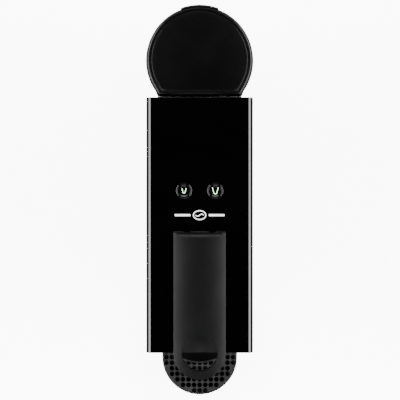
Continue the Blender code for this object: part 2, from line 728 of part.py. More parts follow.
def make_extraction_plate(steel, pivot):
    """Thin disc with small pyramids that tear the capsule's foil."""
    rear = CARRIAGE_Y + 2.1 * MM
    plate = finish("extraction_plate", rod((0.0, BREW_Z), PLATE_RADIUS, CARRIAGE_Y + GAP, rear, "Y", 32),
                   steel, pivot)
    teeth = bmesh.new()
    for row in range(-1, 2):
        for column in range(-1, 2):
            centre = Vector((column * TOOTH_PITCH, rear - 0.2 * MM, BREW_Z + row * TOOTH_PITCH))
            base = [centre + Vector((dx * TOOTH_HALF, 0.0, dz * TOOTH_HALF))
                    for dx, dz in ((-1, -1), (1, -1), (1, 1), (-1, 1))]
            corners = [teeth.verts.new(point) for point in base]
            tip = teeth.verts.new(centre + Vector((0.0, 1.6 * MM, 0.0)))
            faces = [teeth.faces.new(corners)]
            for index in range(4):
                faces.append(teeth.faces.new((corners[index], corners[(index + 1) % 4], tip)))
            bmesh.ops.recalc_face_normals(teeth, faces=faces)
    add(plate, teeth)
    return plate


def make_brew_frame(grey):
    """Fixed frame: two side walls, a floor strip under the head and a rear plate."""
    inner = ARM_INNER_X + ARM_THICKNESS + 1.1 * MM
    outer = inner + FRAME_WALL
    strip = block((-outer, outer), (HOUSE_FRONT_Y, FRAME_STRIP_REAR_Y), (FRAME_LOW, FRAME_LOW + 3.0 * MM))
    frame = finish("brew_frame", strip, grey)
    walls = bmesh.new()
    for pair in mirrored((inner, outer)):
        block(pair, (FRAME_FRONT_Y, FRAME_REAR_Y), (FRAME_LOW, FRAME_HIGH), walls)
    add(frame, walls)
    rear = INJECTION_FRONT_Y + INJECTION_DEPTH + GAP
    add(frame, block((-CRANK_X - 5 * MM, CRANK_X + 5 * MM), (rear, rear + 3.6 * MM),
                     (FRAME_LOW + MM, BREW_Z + INJECTION_RADIUS)))
    cut(frame, rod((0.0, BREW_Z), INLET_RADIUS + 0.8 * MM, rear - MM, INLET_Y + 8.0 * MM, "Y", 20))
    return frame


def make_injection_head(steel, rubber):
    """Disc that feeds hot water into the capsule through three blades, and its seal."""
    rear = INJECTION_FRONT_Y + INJECTION_DEPTH
    seal_rear = INJECTION_FRONT_Y - GAP
    profile = [(0.0, INJECTION_FRONT_Y), (INJECTION_RADIUS, INJECTION_FRONT_Y), (INJECTION_RADIUS, rear),
               (INLET_RADIUS, rear), (INLET_RADIUS, INLET_Y), (WATER_BORE, INLET_Y),
               (WATER_BORE, rear - 4.0 * MM), (0.0, rear - 4.0 * MM)]
    head = finish("injection_head", turned(profile, (0.0, BREW_Z), "Y", 32), steel)
    blades = bmesh.new()
    for index in range(3):
        angle = radians(90 + 120 * index)
        centre = (BLADE_PITCH * cos(angle), BREW_Z + BLADE_PITCH * sin(angle))
        blade = [(0.0, INJECTION_FRONT_Y - 5.0 * MM), (0.9 * MM, INJECTION_FRONT_Y - 2.5 * MM),
                 (0.9 * MM, INJECTION_FRONT_Y + MM), (0.0, INJECTION_FRONT_Y + MM)]
        turned(blade, centre, "Y", 8, blades)
    add(head, blades)
    seal_front = seal_rear - 1.5 * MM
    ring = [(SEAL_INNER, seal_front), (SEAL_OUTER, seal_front), (SEAL_OUTER, seal_rear),
            (SEAL_INNER, seal_rear)]
    finish("brew_seal", turned(ring, (0.0, BREW_Z), "Y", 32), rubber)


def make_coffee_duct(grey):
    """Open trough that slopes from under the carriage to the spout."""
    front = SPOUT_Y + SPOUT_RADIUS + GAP
    rear_low = DUCT_LOW + DUCT_FALL
    outline = [(front, DUCT_LOW), (DUCT_REAR_Y, rear_low), (DUCT_REAR_Y, rear_low + DUCT_HEIGHT),
               (front, DUCT_LOW + DUCT_HEIGHT)]
    duct = finish("coffee_duct", prism(outline, -DUCT_HALF, DUCT_HALF, "X"), grey)
    floor = 2.0 * MM
    above = DUCT_LOW + 3 * DUCT_HEIGHT
    inside_rear = DUCT_REAR_Y - DUCT_WALL
    inside = [(front - MM, DUCT_LOW + floor), (inside_rear, rear_low + floor), (inside_rear, above),
              (front - MM, above)]
    cut(duct, prism(inside, DUCT_WALL - DUCT_HALF, DUCT_HALF - DUCT_WALL, "X"))
    return duct


# ---------------------------------------------------------------- buttons
def make_button(name, x, satin, pivot):
    """Round cap with a dished top, a retaining flange and a stem."""
    top = BODY_TOP - BUTTON_SUNK
    flange_high = TOP_UNDER - BUTTON_TRAVEL
    flange_low = flange_high - FLANGE_THICKNESS
    stem_low = flange_low - STEM_LENGTH
    edge = BUTTON_RADIUS - BUTTON_RIM
    flange = BUTTON_RADIUS + FLANGE_WIDTH
    profile = [(0.0, stem_low), (2.0 * MM, stem_low), (2.0 * MM, flange_low), (flange, flange_low),
               (flange, flange_high), (BUTTON_RADIUS, flange_high), (BUTTON_RADIUS, top - BUTTON_RIM),
               (edge, top)]
    for share in (0.75, 0.5, 0.25, 0.0):
        profile.append((edge * share, top - BUTTON_DISH * (1.0 - share * share)))
    return finish(name, turned(profile, (x, BUTTON_Y), sides=28), satin, pivot)


def make_button_board(board, rubber):
    """Printed board and the silicone mat whose domes the stems press."""
    front, rear = BUTTON_Y - 10.0 * MM, BUTTON_Y + 10.0 * MM
    stem_low = TOP_UNDER - BUTTON_TRAVEL - FLANGE_THICKNESS - STEM_LENGTH
    dome_high = stem_low - BUTTON_TRAVEL - GAP
    mat_high = dome_high - 1.8 * MM
    mat_low = mat_high - 1.2 * MM
    half = 20.0 * MM
    mat = finish("button_mat", block((-half, half), (front, rear), (mat_low, mat_high)), rubber)
    domes = bmesh.new()
    for side in (-1, 1):
        profile = [(0.0, mat_low + 0.4 * MM), (4.0 * MM, mat_low + 0.4 * MM), (4.0 * MM, mat_high),
                   (2.6 * MM, dome_high), (0.0, dome_high)]
        turned(profile, (side * BUTTON_X, BUTTON_Y), sides=16, shape=domes)
    add(mat, domes)
    high = mat_low - GAP
    finish("button_board", block((-half, half), (front, rear), (high - BOARD_THICKNESS, high)), board)


# ---------------------------------------------------------------- drawer and drip tray
def tray_outline(inset):
    """Half circle in front with straight sides back to the column."""
    radius = TRAY_RADIUS - inset
    rear = TRAY_REAR_Y - inset
    return [(-radius, rear), *arc(0.0, TRAY_Y, radius, 180.0, 360.0, 40), (radius, rear)]


def make_drawer(matte, satin, pivot):
    """Carrier with the drip bowl, the capsule container and the front panel standing on it."""
    wall = 2.0 * MM
    carrier = finish("tray_carrier", prism(tray_outline(0.0), TRAY_LOW, TRAY_HIGH), matte, pivot)
    add(carrier, block((-CONTAINER_HALF, CONTAINER_HALF), (TRAY_REAR_Y - MM, CONTAINER_REAR_Y),
                       (PLATE_LOW, PLATE_HIGH)))
    floor = TRAY_LOW + wall
    cut(carrier, prism(tray_outline(wall), floor, TRAY_HIGH + MM))

    bowl_inset = wall + GAP
    bowl = finish("drip_bowl", prism(tray_outline(bowl_inset), floor + GAP, TRAY_HIGH - GAP), satin, pivot)
    cut(bowl, prism(tray_outline(bowl_inset + THIN_WALL), floor + GAP + THIN_WALL, TRAY_HIGH + MM))

    low, high = PLATE_HIGH + GAP, DRAWER_TOP - GAP
    panel_rear = COLUMN_FRONT_Y + PANEL_THICKNESS
    panel = block((-PANEL_HALF, PANEL_HALF), (COLUMN_FRONT_Y, panel_rear), (low, DRAWER_TOP))
    finish("drawer_front", panel, satin, pivot)
    half = CONTAINER_HALF - 0.4 * MM
    front, rear = panel_rear + GAP, CONTAINER_REAR_Y - GAP
    container = finish("capsule_container", block((-half, half), (front, rear), (low, high)), matte, pivot)
    cut(container, block((-half + THIN_WALL, half - THIN_WALL), (front + THIN_WALL, rear - THIN_WALL),
                         (low + THIN_WALL, high + MM)))


def make_drip_grid(satin, pivot):
    """Flat grid with a square array of round holes about the middle of the tray."""
    low = TRAY_HIGH + GAP
    high = low + GRID_THICKNESS
    grid = finish("drip_grid", prism(tray_outline(0.0), low, high), satin, pivot)
    holes = bmesh.new()
    reach = int(GRID_FIELD_RADIUS / GRID_PITCH)
    for row in range(-reach, reach + 1):
        for column in range(-reach, reach + 1):
            x, y = column * GRID_PITCH, row * GRID_PITCH
            if sqrt(x * x + y * y) <= GRID_FIELD_RADIUS:
                rod((x, TRAY_Y + y), GRID_HOLE_RADIUS, low - MM, high + MM, sides=8, shape=holes)
    cut(grid, holes)
    return grid


# ---------------------------------------------------------------- water tank
def tank_outline(inset):
    """Round tank whose sides run straight on, as tangents, to a flat front."""
    radius = LID_RADIUS - inset
    front = LID_FRONT_Y + inset
    turn = degrees(SIDE_TURN)
    tangent_y = TANK_Y - radius * sin(SIDE_TURN)
    corner = radius * cos(SIDE_TURN) - (tangent_y - front) * tan(SIDE_TURN)
    return [(corner, front), *arc(0.0, TANK_Y, radius, -turn, 180.0 + turn, 48), (-corner, front)]


def make_tank_seat(matte, rubber, grey):
    """Hollow seat under the tank with the water connector, its seal and the cord's gland."""
    seat = finish("tank_seat", prism(tank_outline(SEAT_INSET), PLATE_LOW, SEAT_HIGH), matte)
    cut(seat, prism(tank_outline(SEAT_INSET + WALL), PLATE_LOW - MM, SEAT_HIGH - WALL))
    socket = NECK_RADIUS + 0.6 * MM
    cut(seat, rod((0.0, TANK_Y), socket, SEAT_HIGH - 2 * WALL, SEAT_HIGH + MM))
    hole_end = LID_FRONT_Y + SEAT_INSET + WALL + 3.9 * MM
    cut(seat, rod((0.0, TANK_HOSE_Z), HOSE_HOLE_RADIUS, LID_FRONT_Y - MM, hole_end, "Y", 20))
    cut(seat, rod((0.0, GLAND_Z), GLAND_RADIUS + GAP, TANK_Y + 30 * MM, REAR_Y, "Y", 20))

    top = SEAT_HIGH - WALL - GAP
    water_floor = CONNECTOR_LOW + 3.0 * MM
    profile = [(0.0, CONNECTOR_LOW), (CONNECTOR_RADIUS, CONNECTOR_LOW), (CONNECTOR_RADIUS, top),
               (socket, top), (socket, CONNECTOR_FLOOR), (WATER_BORE, CONNECTOR_FLOOR),
               (WATER_BORE, water_floor), (0.0, water_floor)]
    connector = finish("tank_connector", turned(profile, (0.0, TANK_Y), sides=28), grey)
    add(connector, rod((0.0, TANK_HOSE_Z), SPIGOT_RADIUS, TANK_SPIGOT_Y, TANK_Y - 8 * MM, "Y", 16))
    cut(connector, rod((0.0, TANK_HOSE_Z), SPIGOT_BORE, TANK_SPIGOT_Y - MM, TANK_Y, "Y", 12))
    seal_low = CONNECTOR_FLOOR + GAP
    seal_high = TANK_LOW - NECK_LENGTH - 2 * GAP
    inner, outer = NECK_BORE - 0.2 * MM, socket - 0.4 * MM
    seal = [(inner, seal_low), (outer, seal_low), (outer, seal_high), (inner, seal_high)]
    finish("connector_seal", turned(seal, (0.0, TANK_Y), sides=28), rubber)

    flange = REAR_Y - 2.4 * MM
    rim, inside, outside = GLAND_RADIUS + GLAND_FLANGE, flange - 5.0 * MM, flange + 1.4 * MM
    gland = [(GLAND_BORE, inside), (GLAND_RADIUS, inside), (GLAND_RADIUS, flange), (rim, flange),
             (rim, outside), (GLAND_BORE, outside)]
    finish("cord_gland", turned(gland, (0.0, GLAND_Z), "Y", 24), rubber)


def make_tank(clear, grey, steel, tank_pivot, valve_pivot):
    """Smoked tank with an outlet neck, two lugs for the lid, its valve and the lid's pin."""
    tank = finish("water_tank", prism(tank_outline(TANK_INSET), TANK_LOW, TANK_HIGH), clear, tank_pivot)
    cut(tank, prism(tank_outline(TANK_INSET + TANK_WALL), TANK_LOW + TANK_WALL, TANK_HIGH + MM))
    neck_low = TANK_LOW - NECK_LENGTH
    add(tank, rod((0.0, TANK_Y), NECK_RADIUS, neck_low, TANK_LOW + MM))
    cut(tank, rod((0.0, TANK_Y), NECK_BORE, neck_low - MM, TANK_LOW + TANK_WALL + MM))
    lugs = bmesh.new()
    for low, high in mirrored(LID_LUG_PAIR):
        radius = LID_PIN_RADIUS + 0.9 * MM
        outline = [(LID_PIVOT_Y + radius, TANK_HIGH - 6 * MM)]
        outline += arc(LID_PIVOT_Y, LID_PIVOT_Z, radius, 0.0, 180.0, 8)
        outline += [(LID_PIVOT_Y - radius, TANK_HIGH - 6 * MM)]
        prism(outline, low, high, "X", lugs)
    add(tank, lugs)
    bore = LID_PIN_RADIUS + GAP
    cut(tank, rod((LID_PIVOT_Y, LID_PIVOT_Z), bore, -LID_PIN_HALF, LID_PIN_HALF, "X", 12))
    pin = rod((LID_PIVOT_Y, LID_PIVOT_Z), LID_PIN_RADIUS, -LID_PIN_HALF, LID_PIN_HALF, "X", 12)
    finish("lid_hinge_pin", pin, steel, tank_pivot)

    rest = TANK_LOW + TANK_WALL + GAP
    stem, disc, crest = 1.5 * MM, NECK_BORE + 1.4 * MM, rest + 3.0 * MM
    valve = [(0.0, neck_low + MM), (stem, neck_low + MM), (stem, rest), (disc, rest),
             (disc, rest + 1.2 * MM), (2.4 * MM, crest), (0.0, crest)]
    finish("tank_valve", turned(valve, (0.0, TANK_Y), sides=20), grey, valve_pivot)


def make_lid(satin, pivot):
    """Lid with a skirt, a rear tab and a rounded front end that turns on the pin."""
    low = LID_PIVOT_Z - LID_BARREL_RADIUS
    lid = finish("tank_lid", prism(tank_outline(0.0), low, LID_TOP), satin, pivot)
    under = LID_TOP - LID_THICKNESS
    behind = LID_PIVOT_Y + LID_BARREL_RADIUS
    above = LID_TOP + 0.1 * MM
    side = arc(LID_PIVOT_Y, LID_PIVOT_Z, LID_BARREL_RADIUS, 270.0, 90.0, 16)[:-1]
    side += [(LID_PIVOT_Y, above), (REAR_Y + MM, above), (REAR_Y + MM, under), (behind, under),
             (behind - MM, low)]
    keep(lid, prism(side, -WIDTH, WIDTH, "X"))
    outer = LID_RADIUS - GAP
    inner = outer - 2.0 * MM
    end = degrees(SIDE_TURN) - 3.0
    skirt = arc(0.0, TANK_Y, outer, -end, 180.0 + end, 54) + arc(0.0, TANK_Y, inner, 180.0 + end, -end, 54)
    add(lid, prism(skirt, TANK_HIGH + 0.4 * MM, under + MM))
    spread = degrees(TAB_HALF / (LID_RADIUS + TAB_PROUD))
    tab = arc(0.0, TANK_Y, LID_RADIUS + TAB_PROUD, 90.0 - spread, 90.0 + spread, 10)
    tab += [(-TAB_HALF, REAR_Y - 8 * MM), (TAB_HALF, REAR_Y - 8 * MM)]
    add(lid, prism(tab, under - 3.0 * MM, LID_TOP - 0.5 * MM))
    swept = LID_PIN_RADIUS + 1.3 * MM
    notches = bmesh.new()
    for low_x, high_x in mirrored((LID_LUG_PAIR[0] - SLIDE_GAP, LID_LUG_PAIR[1] + SLIDE_GAP)):
        block((low_x, high_x), (LID_FRONT_Y - MM, LID_PIVOT_Y + swept), (low - MM, LID_PIVOT_Z + swept),
              notches)
    cut(lid, notches)
    reach = LID_PIN_HALF + 0.4 * MM
    cut(lid, rod((LID_PIVOT_Y, LID_PIVOT_Z), LID_PIN_RADIUS + GAP, -reach, reach, "X", 12))
    return lid


# ---------------------------------------------------------------- water path and electrics
PUMP_X = -16.0 * MM
PUMP_Z = 34.0 * MM
PUMP_HALF = 17.0 * MM
PUMP_FRONT_Y = PIVOT_Y + 30.3 * MM
PUMP_LENGTH = 40.0 * MM
PUMP_BORE = 4.6 * MM
PLUNGER_RADIUS = 4.0 * MM
NOZZLE_LENGTH = 14.0 * MM
NOZZLE_RADIUS = 6.0 * MM
NOZZLE_BORE = 1.8 * MM
METER_X = 24.0 * MM
METER_Y = BODY_REAR_Y - 39.0 * MM
METER_LOW = 22.0 * MM
METER_HEIGHT = 14.0 * MM
METER_RADIUS = 12.0 * MM
METER_INSIDE = 9.8 * MM
ROTOR_REACH = 8.8 * MM
ROTOR_HALF = 0.6 * MM
HEATER_LOW = BREW_Z - 58.0 * MM
HEATER_HEIGHT = 26.0 * MM
HEATER_HALF = 28.0 * MM
HEATER_FRONT_Y = PIVOT_Y + 20.3 * MM
HEATER_REAR_Y = HEATER_FRONT_Y + 60.0 * MM
HEATER_SPIGOT_X = 20.0 * MM
FIN_COUNT = 7
FIN_PITCH = 7.0 * MM
FIN_SLOT = 3.0 * MM
BOARD_FRONT_Y = PIVOT_Y + 21.3 * MM
BOARD_LENGTH = 70.0 * MM
BOARD_LOW = BREW_Z - 24.0 * MM
BOARD_HEIGHT = 46.0 * MM


def make_pump(grey, steel, rubber, pivot):
    """Vibrating pump with its plunger and the two rubber mounts that carry it."""
    rear_y = PUMP_FRONT_Y + PUMP_LENGTH
    body = block((PUMP_X - PUMP_HALF, PUMP_X + PUMP_HALF), (PUMP_FRONT_Y, rear_y),
                 (PUMP_Z - PUMP_HALF, PUMP_Z + PUMP_HALF))
    pump = finish("pump_body", body, grey)
    front_end, rear_end = PUMP_FRONT_Y - NOZZLE_LENGTH, rear_y + NOZZLE_LENGTH
    add(pump, rod((PUMP_X, PUMP_Z), NOZZLE_RADIUS, front_end, rear_end, "Y", 20))
    cut(pump, rod((PUMP_X, PUMP_Z), NOZZLE_BORE, front_end - MM, rear_end + MM, "Y", 12))
    cut(pump, rod((PUMP_X, PUMP_Z), PUMP_BORE, PUMP_FRONT_Y + 6 * MM, rear_y - 4 * MM, "Y", 16))
    plunger = rod((PUMP_X, PUMP_Z), PLUNGER_RADIUS, PUMP_FRONT_Y + 10 * MM, rear_y - 8 * MM, "Y", 16)
    finish("pump_plunger", plunger, steel, pivot)
    for end, low in (("front", PUMP_FRONT_Y - 8 * MM), ("rear", rear_y + 4 * MM)):
        mount = block((PUMP_X - 10 * MM, PUMP_X + 10 * MM), (low, low + 4 * MM),
                      (PLATE_LOW, PUMP_Z + 10 * MM))
        made = finish(f"pump_mount_{end}", mount, rubber)
        cut(made, rod((PUMP_X, PUMP_Z), NOZZLE_RADIUS + GAP, low - MM, low + 5 * MM, "Y", 20))


def make_flow_meter(grey, clear, pivot):
    """Flat round meter with a paddle wheel between its inlet and outlet."""
    high = METER_LOW + METER_HEIGHT
    middle = METER_LOW + METER_HEIGHT / 2
    barrel = rod((METER_X, METER_Y), METER_RADIUS, METER_LOW, high, sides=28)
    meter = finish("flow_meter", barrel, grey)
    add(meter, rod((METER_X, middle), SPIGOT_RADIUS, METER_Y + 8 * MM, METER_Y + 19 * MM, "Y", 14))
    add(meter, rod((METER_X, METER_Y), SPIGOT_RADIUS, high - MM, high + 6 * MM, sides=14))
    cut(meter, rod((METER_X, METER_Y), METER_INSIDE, METER_LOW + 2 * MM, high - 2 * MM, sides=28))
    cut(meter, rod((METER_X, middle), SPIGOT_BORE, METER_Y, METER_Y + 20 * MM, "Y", 12))
    cut(meter, rod((METER_X, METER_Y), SPIGOT_BORE, high - 4 * MM, high + 7 * MM, sides=12))
    low = METER_LOW + 2.8 * MM
    top = high - 2.8 * MM
    wheel = finish("flow_rotor", rod((METER_X, METER_Y), 2.2 * MM, low, top, sides=16), clear, pivot)
    along = (METER_X - ROTOR_REACH, METER_X + ROTOR_REACH), (METER_Y - ROTOR_HALF, METER_Y + ROTOR_HALF)
    across = (METER_X - ROTOR_HALF, METER_X + ROTOR_HALF), (METER_Y - ROTOR_REACH, METER_Y + ROTOR_REACH)
    add(wheel, block(*along, (low + ROTOR_HALF, top - ROTOR_HALF)))
    add(wheel, block(*across, (low + 2 * ROTOR_HALF, top - 2 * ROTOR_HALF)))


def make_heater(metal, steel):
    """Cast heating block with two spigots and the thermostat on its top."""
    high = HEATER_LOW + HEATER_HEIGHT
    casting = block((-HEATER_HALF, HEATER_HALF), (HEATER_FRONT_Y, HEATER_REAR_Y), (HEATER_LOW, high))
    heater = finish("thermoblock", casting, metal)
    middle = HEATER_LOW + HEATER_HEIGHT / 2
    spigots = bmesh.new()
    for side in (-1, 1):
        rod((side * HEATER_SPIGOT_X, middle), SPIGOT_RADIUS, HEATER_FRONT_Y - 6 * MM, HEATER_FRONT_Y + 4 * MM,
            "Y", 14, spigots)
    add(heater, spigots)
    fins = bmesh.new()
    for index in range(FIN_COUNT):
        y = HEATER_FRONT_Y + 9.0 * MM + FIN_PITCH * index
        block((-HEATER_HALF - MM, HEATER_HALF + MM), (y, y + FIN_SLOT), (high - 4 * MM, high + MM), fins)
    cut(heater, fins)
    thermostat = rod((0.0, HEATER_FRONT_Y + 30 * MM), 6.0 * MM, high + GAP, high + 6 * MM)
    finish("thermostat", thermostat, steel)


def make_control_board(board, black, grey):
    """Upright board on the right of the body with its relay and capacitor."""
    right = PANEL_HALF - 4.0 * MM
    left = right - BOARD_THICKNESS
    card = block((left, right), (BOARD_FRONT_Y, BOARD_FRONT_Y + BOARD_LENGTH),
                 (BOARD_LOW, BOARD_LOW + BOARD_HEIGHT))
    finish("control_board", card, board)
    relay_y, relay_z = BOARD_FRONT_Y + 15 * MM, BOARD_LOW + 8 * MM
    relay = block((left - 12 * MM, left - GAP), (relay_y, relay_y + 18 * MM), (relay_z, relay_z + 16 * MM))
    finish("relay", relay, black)
    centre = (BOARD_FRONT_Y + 53 * MM, BOARD_LOW + 24 * MM)
    finish("capacitor", rod(centre, 6.0 * MM, left - 14 * MM, left - GAP, "X", 20), grey)


def make_hoses(silicone):
    """Silicone hoses in the order the water runs."""
    meter_high = METER_LOW + METER_HEIGHT + 6 * MM
    middle = METER_LOW + METER_HEIGHT / 2
    heater_z = HEATER_LOW + HEATER_HEIGHT / 2
    spigot_y = HEATER_FRONT_Y - 6 * MM - GAP
    pump_rear = PUMP_FRONT_Y + PUMP_LENGTH + NOZZLE_LENGTH
    pump_front = PUMP_FRONT_Y - NOZZLE_LENGTH
    spigot_x = HEATER_SPIGOT_X
    turn_y = spigot_y - 6.7 * MM
    heater_high = HEATER_LOW + HEATER_HEIGHT
    routes = {
        "hose_tank_to_meter": [(0, TANK_SPIGOT_Y - GAP, TANK_HOSE_Z),
                               (0, BODY_REAR_Y + GAP, TANK_HOSE_Z),
                               (MM, METER_Y + 34 * MM, TANK_HOSE_Z + MM),
                               (12 * MM, METER_Y + 30 * MM, METER_LOW),
                               (22 * MM, METER_Y + 27 * MM, middle - MM),
                               (METER_X, METER_Y + 22.3 * MM, middle),
                               (METER_X, METER_Y + 19.3 * MM, middle)],
        "hose_meter_to_pump": [(METER_X, METER_Y, meter_high + GAP),
                               (METER_X, METER_Y, meter_high + 4 * MM),
                               (METER_X - MM, METER_Y + 2 * MM, meter_high + 9 * MM),
                               (12 * MM, METER_Y + 12 * MM, meter_high + 0.3 * (HEATER_LOW - meter_high)),
                               (-8 * MM, METER_Y + 23 * MM, meter_high + 8 * MM),
                               (PUMP_X, pump_rear + 9 * MM, PUMP_Z + 5 * MM),
                               (PUMP_X, pump_rear + 3.3 * MM, PUMP_Z),
                               (PUMP_X, pump_rear + GAP, PUMP_Z)],
        "hose_pump_to_heater": [(PUMP_X, pump_front - GAP, PUMP_Z), (PUMP_X, pump_front - 4 * MM, PUMP_Z),
                                (PUMP_X, pump_front - 11 * MM, PUMP_Z + 5 * MM),
                                (MM - spigot_x, pump_front - 16 * MM, PUMP_Z + 24 * MM),
                                (-spigot_x, pump_front - 15 * MM, HEATER_LOW - 4 * MM),
                                (-spigot_x, turn_y, heater_z - 3 * MM),
                                (-spigot_x, spigot_y - 3 * MM, heater_z), (-spigot_x, spigot_y, heater_z)],
        "hose_heater_to_brew": [(spigot_x, spigot_y, heater_z), (spigot_x, spigot_y - 3 * MM, heater_z),
                                (spigot_x, turn_y, heater_z + 5 * MM),
                                (17 * MM, turn_y + 4 * MM, heater_high + 8 * MM),
                                (6 * MM, INLET_Y + 15 * MM, BREW_Z - 6 * MM),
                                (0, INLET_Y + 13 * MM, BREW_Z), (0, INLET_Y + 3.3 * MM, BREW_Z),
                                (0, INLET_Y + GAP, BREW_Z)],
    }
    for name, points in routes.items():
        hose(name, points, HOSE_RADIUS, silicone)


# ---------------------------------------------------------------- assembly
def main():
    clear_scene()
    gloss = material("gloss_black", (0.006, 0.006, 0.007), 0.08, coat=0.6)
    satin = material("satin_black", (0.018, 0.018, 0.019), 0.32)
    matte = material("matte_black", (0.028, 0.028, 0.03), 0.5)
    grey = material("grey_plastic", (0.22, 0.22, 0.23), 0.5)
    rubber = material("rubber", (0.03, 0.03, 0.03), 0.8)
    steel = material("steel", (0.6, 0.6, 0.6), 0.3, metallic=1.0)
    alloy = material("cast_alloy", (0.5, 0.5, 0.5), 0.45, metallic=1.0)
    smoke = material("smoked_clear", (0.06, 0.06, 0.065), 0.1, alpha=0.5)
    board = material("circuit_board", (0.02, 0.14, 0.05), 0.45)
    silicone = material("silicone", (0.7, 0.7, 0.68), 0.5)

    lever_axis = axis_empty("lever_axis", (0.0, PIVOT_Y, PIVOT_Z))
    carriage_axis = axis_empty("carriage_axis", (0.0, CARRIAGE_Y, BREW_Z))
    drawer_axis = axis_empty("drawer_axis", (0.0, COLUMN_FRONT_Y, PLATE_LOW))
    grid_axis = axis_empty("grid_axis", (0.0, TRAY_Y, TRAY_HIGH), drawer_axis)
    tank_axis = axis_empty("tank_axis", (0.0, TANK_Y, TANK_LOW))
    lid_axis = axis_empty("lid_axis", (0.0, LID_PIVOT_Y, LID_PIVOT_Z), tank_axis)
    valve_axis = axis_empty("valve_axis", (0.0, TANK_Y, TANK_LOW), tank_axis)
    plunger_axis = axis_empty("plunger_axis", (PUMP_X, PUMP_FRONT_Y + PUMP_LENGTH / 2, PUMP_Z))
    rotor_axis = axis_empty("rotor_axis", (METER_X, METER_Y, METER_LOW))

    make_shell(gloss)
    make_lever_bed(matte)
    make_fascia(matte)
    make_nose(satin)
    make_spout(satin)
    make_back_and_base(matte, rubber, steel)
    make_bulkhead(grey)
    make_lever(matte, lever_axis)
    shaft = rod((PIVOT_Y, PIVOT_Z), SHAFT_RADIUS, -LEVER_HALF + 0.6 * MM, LEVER_HALF - 0.6 * MM, "X", 16)
    finish("lever_shaft", shaft, steel)
    make_carriage(grey, carriage_axis)
    make_extraction_plate(steel, carriage_axis)
    make_brew_frame(grey)
    make_injection_head(steel, rubber)
    make_coffee_duct(grey)
    for name, side in (("button_small", -1), ("button_large", 1)):
        centre = (side * BUTTON_X, BUTTON_Y, BODY_TOP)
        make_button(name, side * BUTTON_X, satin, axis_empty(f"{name}_axis", centre))
    make_button_board(board, rubber)
    make_drawer(matte, satin, drawer_axis)
    make_drip_grid(satin, grid_axis)
    make_tank_seat(matte, rubber, grey)
    make_tank(smoke, grey, steel, tank_axis, valve_axis)
    make_lid(satin, lid_axis)
    make_pump(grey, steel, rubber, plunger_axis)
    make_flow_meter(grey, silicone, rotor_axis)
    make_heater(alloy, steel)
    make_control_board(board, matte, grey)
    make_hoses(silicone)


main()
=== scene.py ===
"""Looks of the pod coffee machine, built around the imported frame. Metres, front -Y, up +Z."""
import json
from math import atan2, cos, pi, radians, sin, sqrt

import bmesh
import bpy
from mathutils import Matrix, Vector

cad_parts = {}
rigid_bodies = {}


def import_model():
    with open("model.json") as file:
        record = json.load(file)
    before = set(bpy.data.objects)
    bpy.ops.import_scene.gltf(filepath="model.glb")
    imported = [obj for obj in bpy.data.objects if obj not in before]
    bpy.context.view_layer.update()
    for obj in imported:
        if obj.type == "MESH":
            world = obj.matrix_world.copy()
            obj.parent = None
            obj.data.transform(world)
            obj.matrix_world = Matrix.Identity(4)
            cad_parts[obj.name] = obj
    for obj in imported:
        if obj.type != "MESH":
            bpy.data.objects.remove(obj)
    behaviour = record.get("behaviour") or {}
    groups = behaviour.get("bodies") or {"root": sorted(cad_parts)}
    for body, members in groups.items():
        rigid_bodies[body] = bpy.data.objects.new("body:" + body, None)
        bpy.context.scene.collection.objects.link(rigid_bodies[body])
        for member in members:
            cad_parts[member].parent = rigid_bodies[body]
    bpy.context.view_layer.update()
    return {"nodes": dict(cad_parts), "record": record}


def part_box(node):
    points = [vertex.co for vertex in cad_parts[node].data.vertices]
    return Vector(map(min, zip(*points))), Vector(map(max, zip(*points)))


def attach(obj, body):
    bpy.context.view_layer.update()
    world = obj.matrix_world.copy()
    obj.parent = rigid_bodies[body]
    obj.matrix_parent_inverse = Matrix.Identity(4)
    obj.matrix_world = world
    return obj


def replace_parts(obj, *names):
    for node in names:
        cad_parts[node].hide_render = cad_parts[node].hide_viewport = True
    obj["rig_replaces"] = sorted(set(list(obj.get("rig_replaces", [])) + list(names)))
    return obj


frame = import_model()
MM = 0.001

# ---------------------------------------------------------------- places read from the frame
SHELL_LOW, SHELL_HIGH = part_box("body_shell")
LEVER_BOX_LOW, LEVER_BOX_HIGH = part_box("lever")
SHAFT_LOW, SHAFT_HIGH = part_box("lever_shaft")
LID_LOW, LID_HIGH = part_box("tank_lid")
TANK_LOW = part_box("water_tank")[0]
LID_PIN_LOW, LID_PIN_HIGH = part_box("lid_hinge_pin")
GRID_LOW, GRID_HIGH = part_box("drip_grid")
CARRIER_LOW, CARRIER_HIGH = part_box("tray_carrier")
BUTTON_LOW, BUTTON_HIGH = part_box("button_large")
NOSE_LOW, NOSE_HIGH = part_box("outlet_nose")
FASCIA_LOW, FASCIA_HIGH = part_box("fascia")
PANEL_LOW, PANEL_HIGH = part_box("drawer_front")

# body
WALL = 2.4 * MM
EDGE_RADIUS = 5.0 * MM
BODY_HALF = SHELL_HIGH.x
BODY_TOP = SHELL_HIGH.z
CHIN_LOW = 108.0 * MM
CHIN_HIGH = 132.0 * MM
COLUMN_FRONT_Y = PANEL_LOW.y
NOSE_RADIUS = 34.0 * MM

# lever
LEVER_HALF = 20.0 * MM
PIVOT_Y = (SHAFT_LOW.y + SHAFT_HIGH.y) / 2
PIVOT_Z = (SHAFT_LOW.z + SHAFT_HIGH.z) / 2
BARREL_RADIUS = LEVER_BOX_HIGH.z - PIVOT_Z
RING_Y = LEVER_BOX_LOW.y + LEVER_HALF
RING_HOLE_RADIUS = 13.9 * MM
LEVER_LOW = BODY_TOP + 1.2 * MM
LEVER_CROWN = 2.6 * MM
LEVER_FALL = 0.8 * MM
LEVER_WALL = 2.6 * MM
SHAFT_BORE = (SHAFT_HIGH.z - SHAFT_LOW.z) / 2 + 0.3 * MM

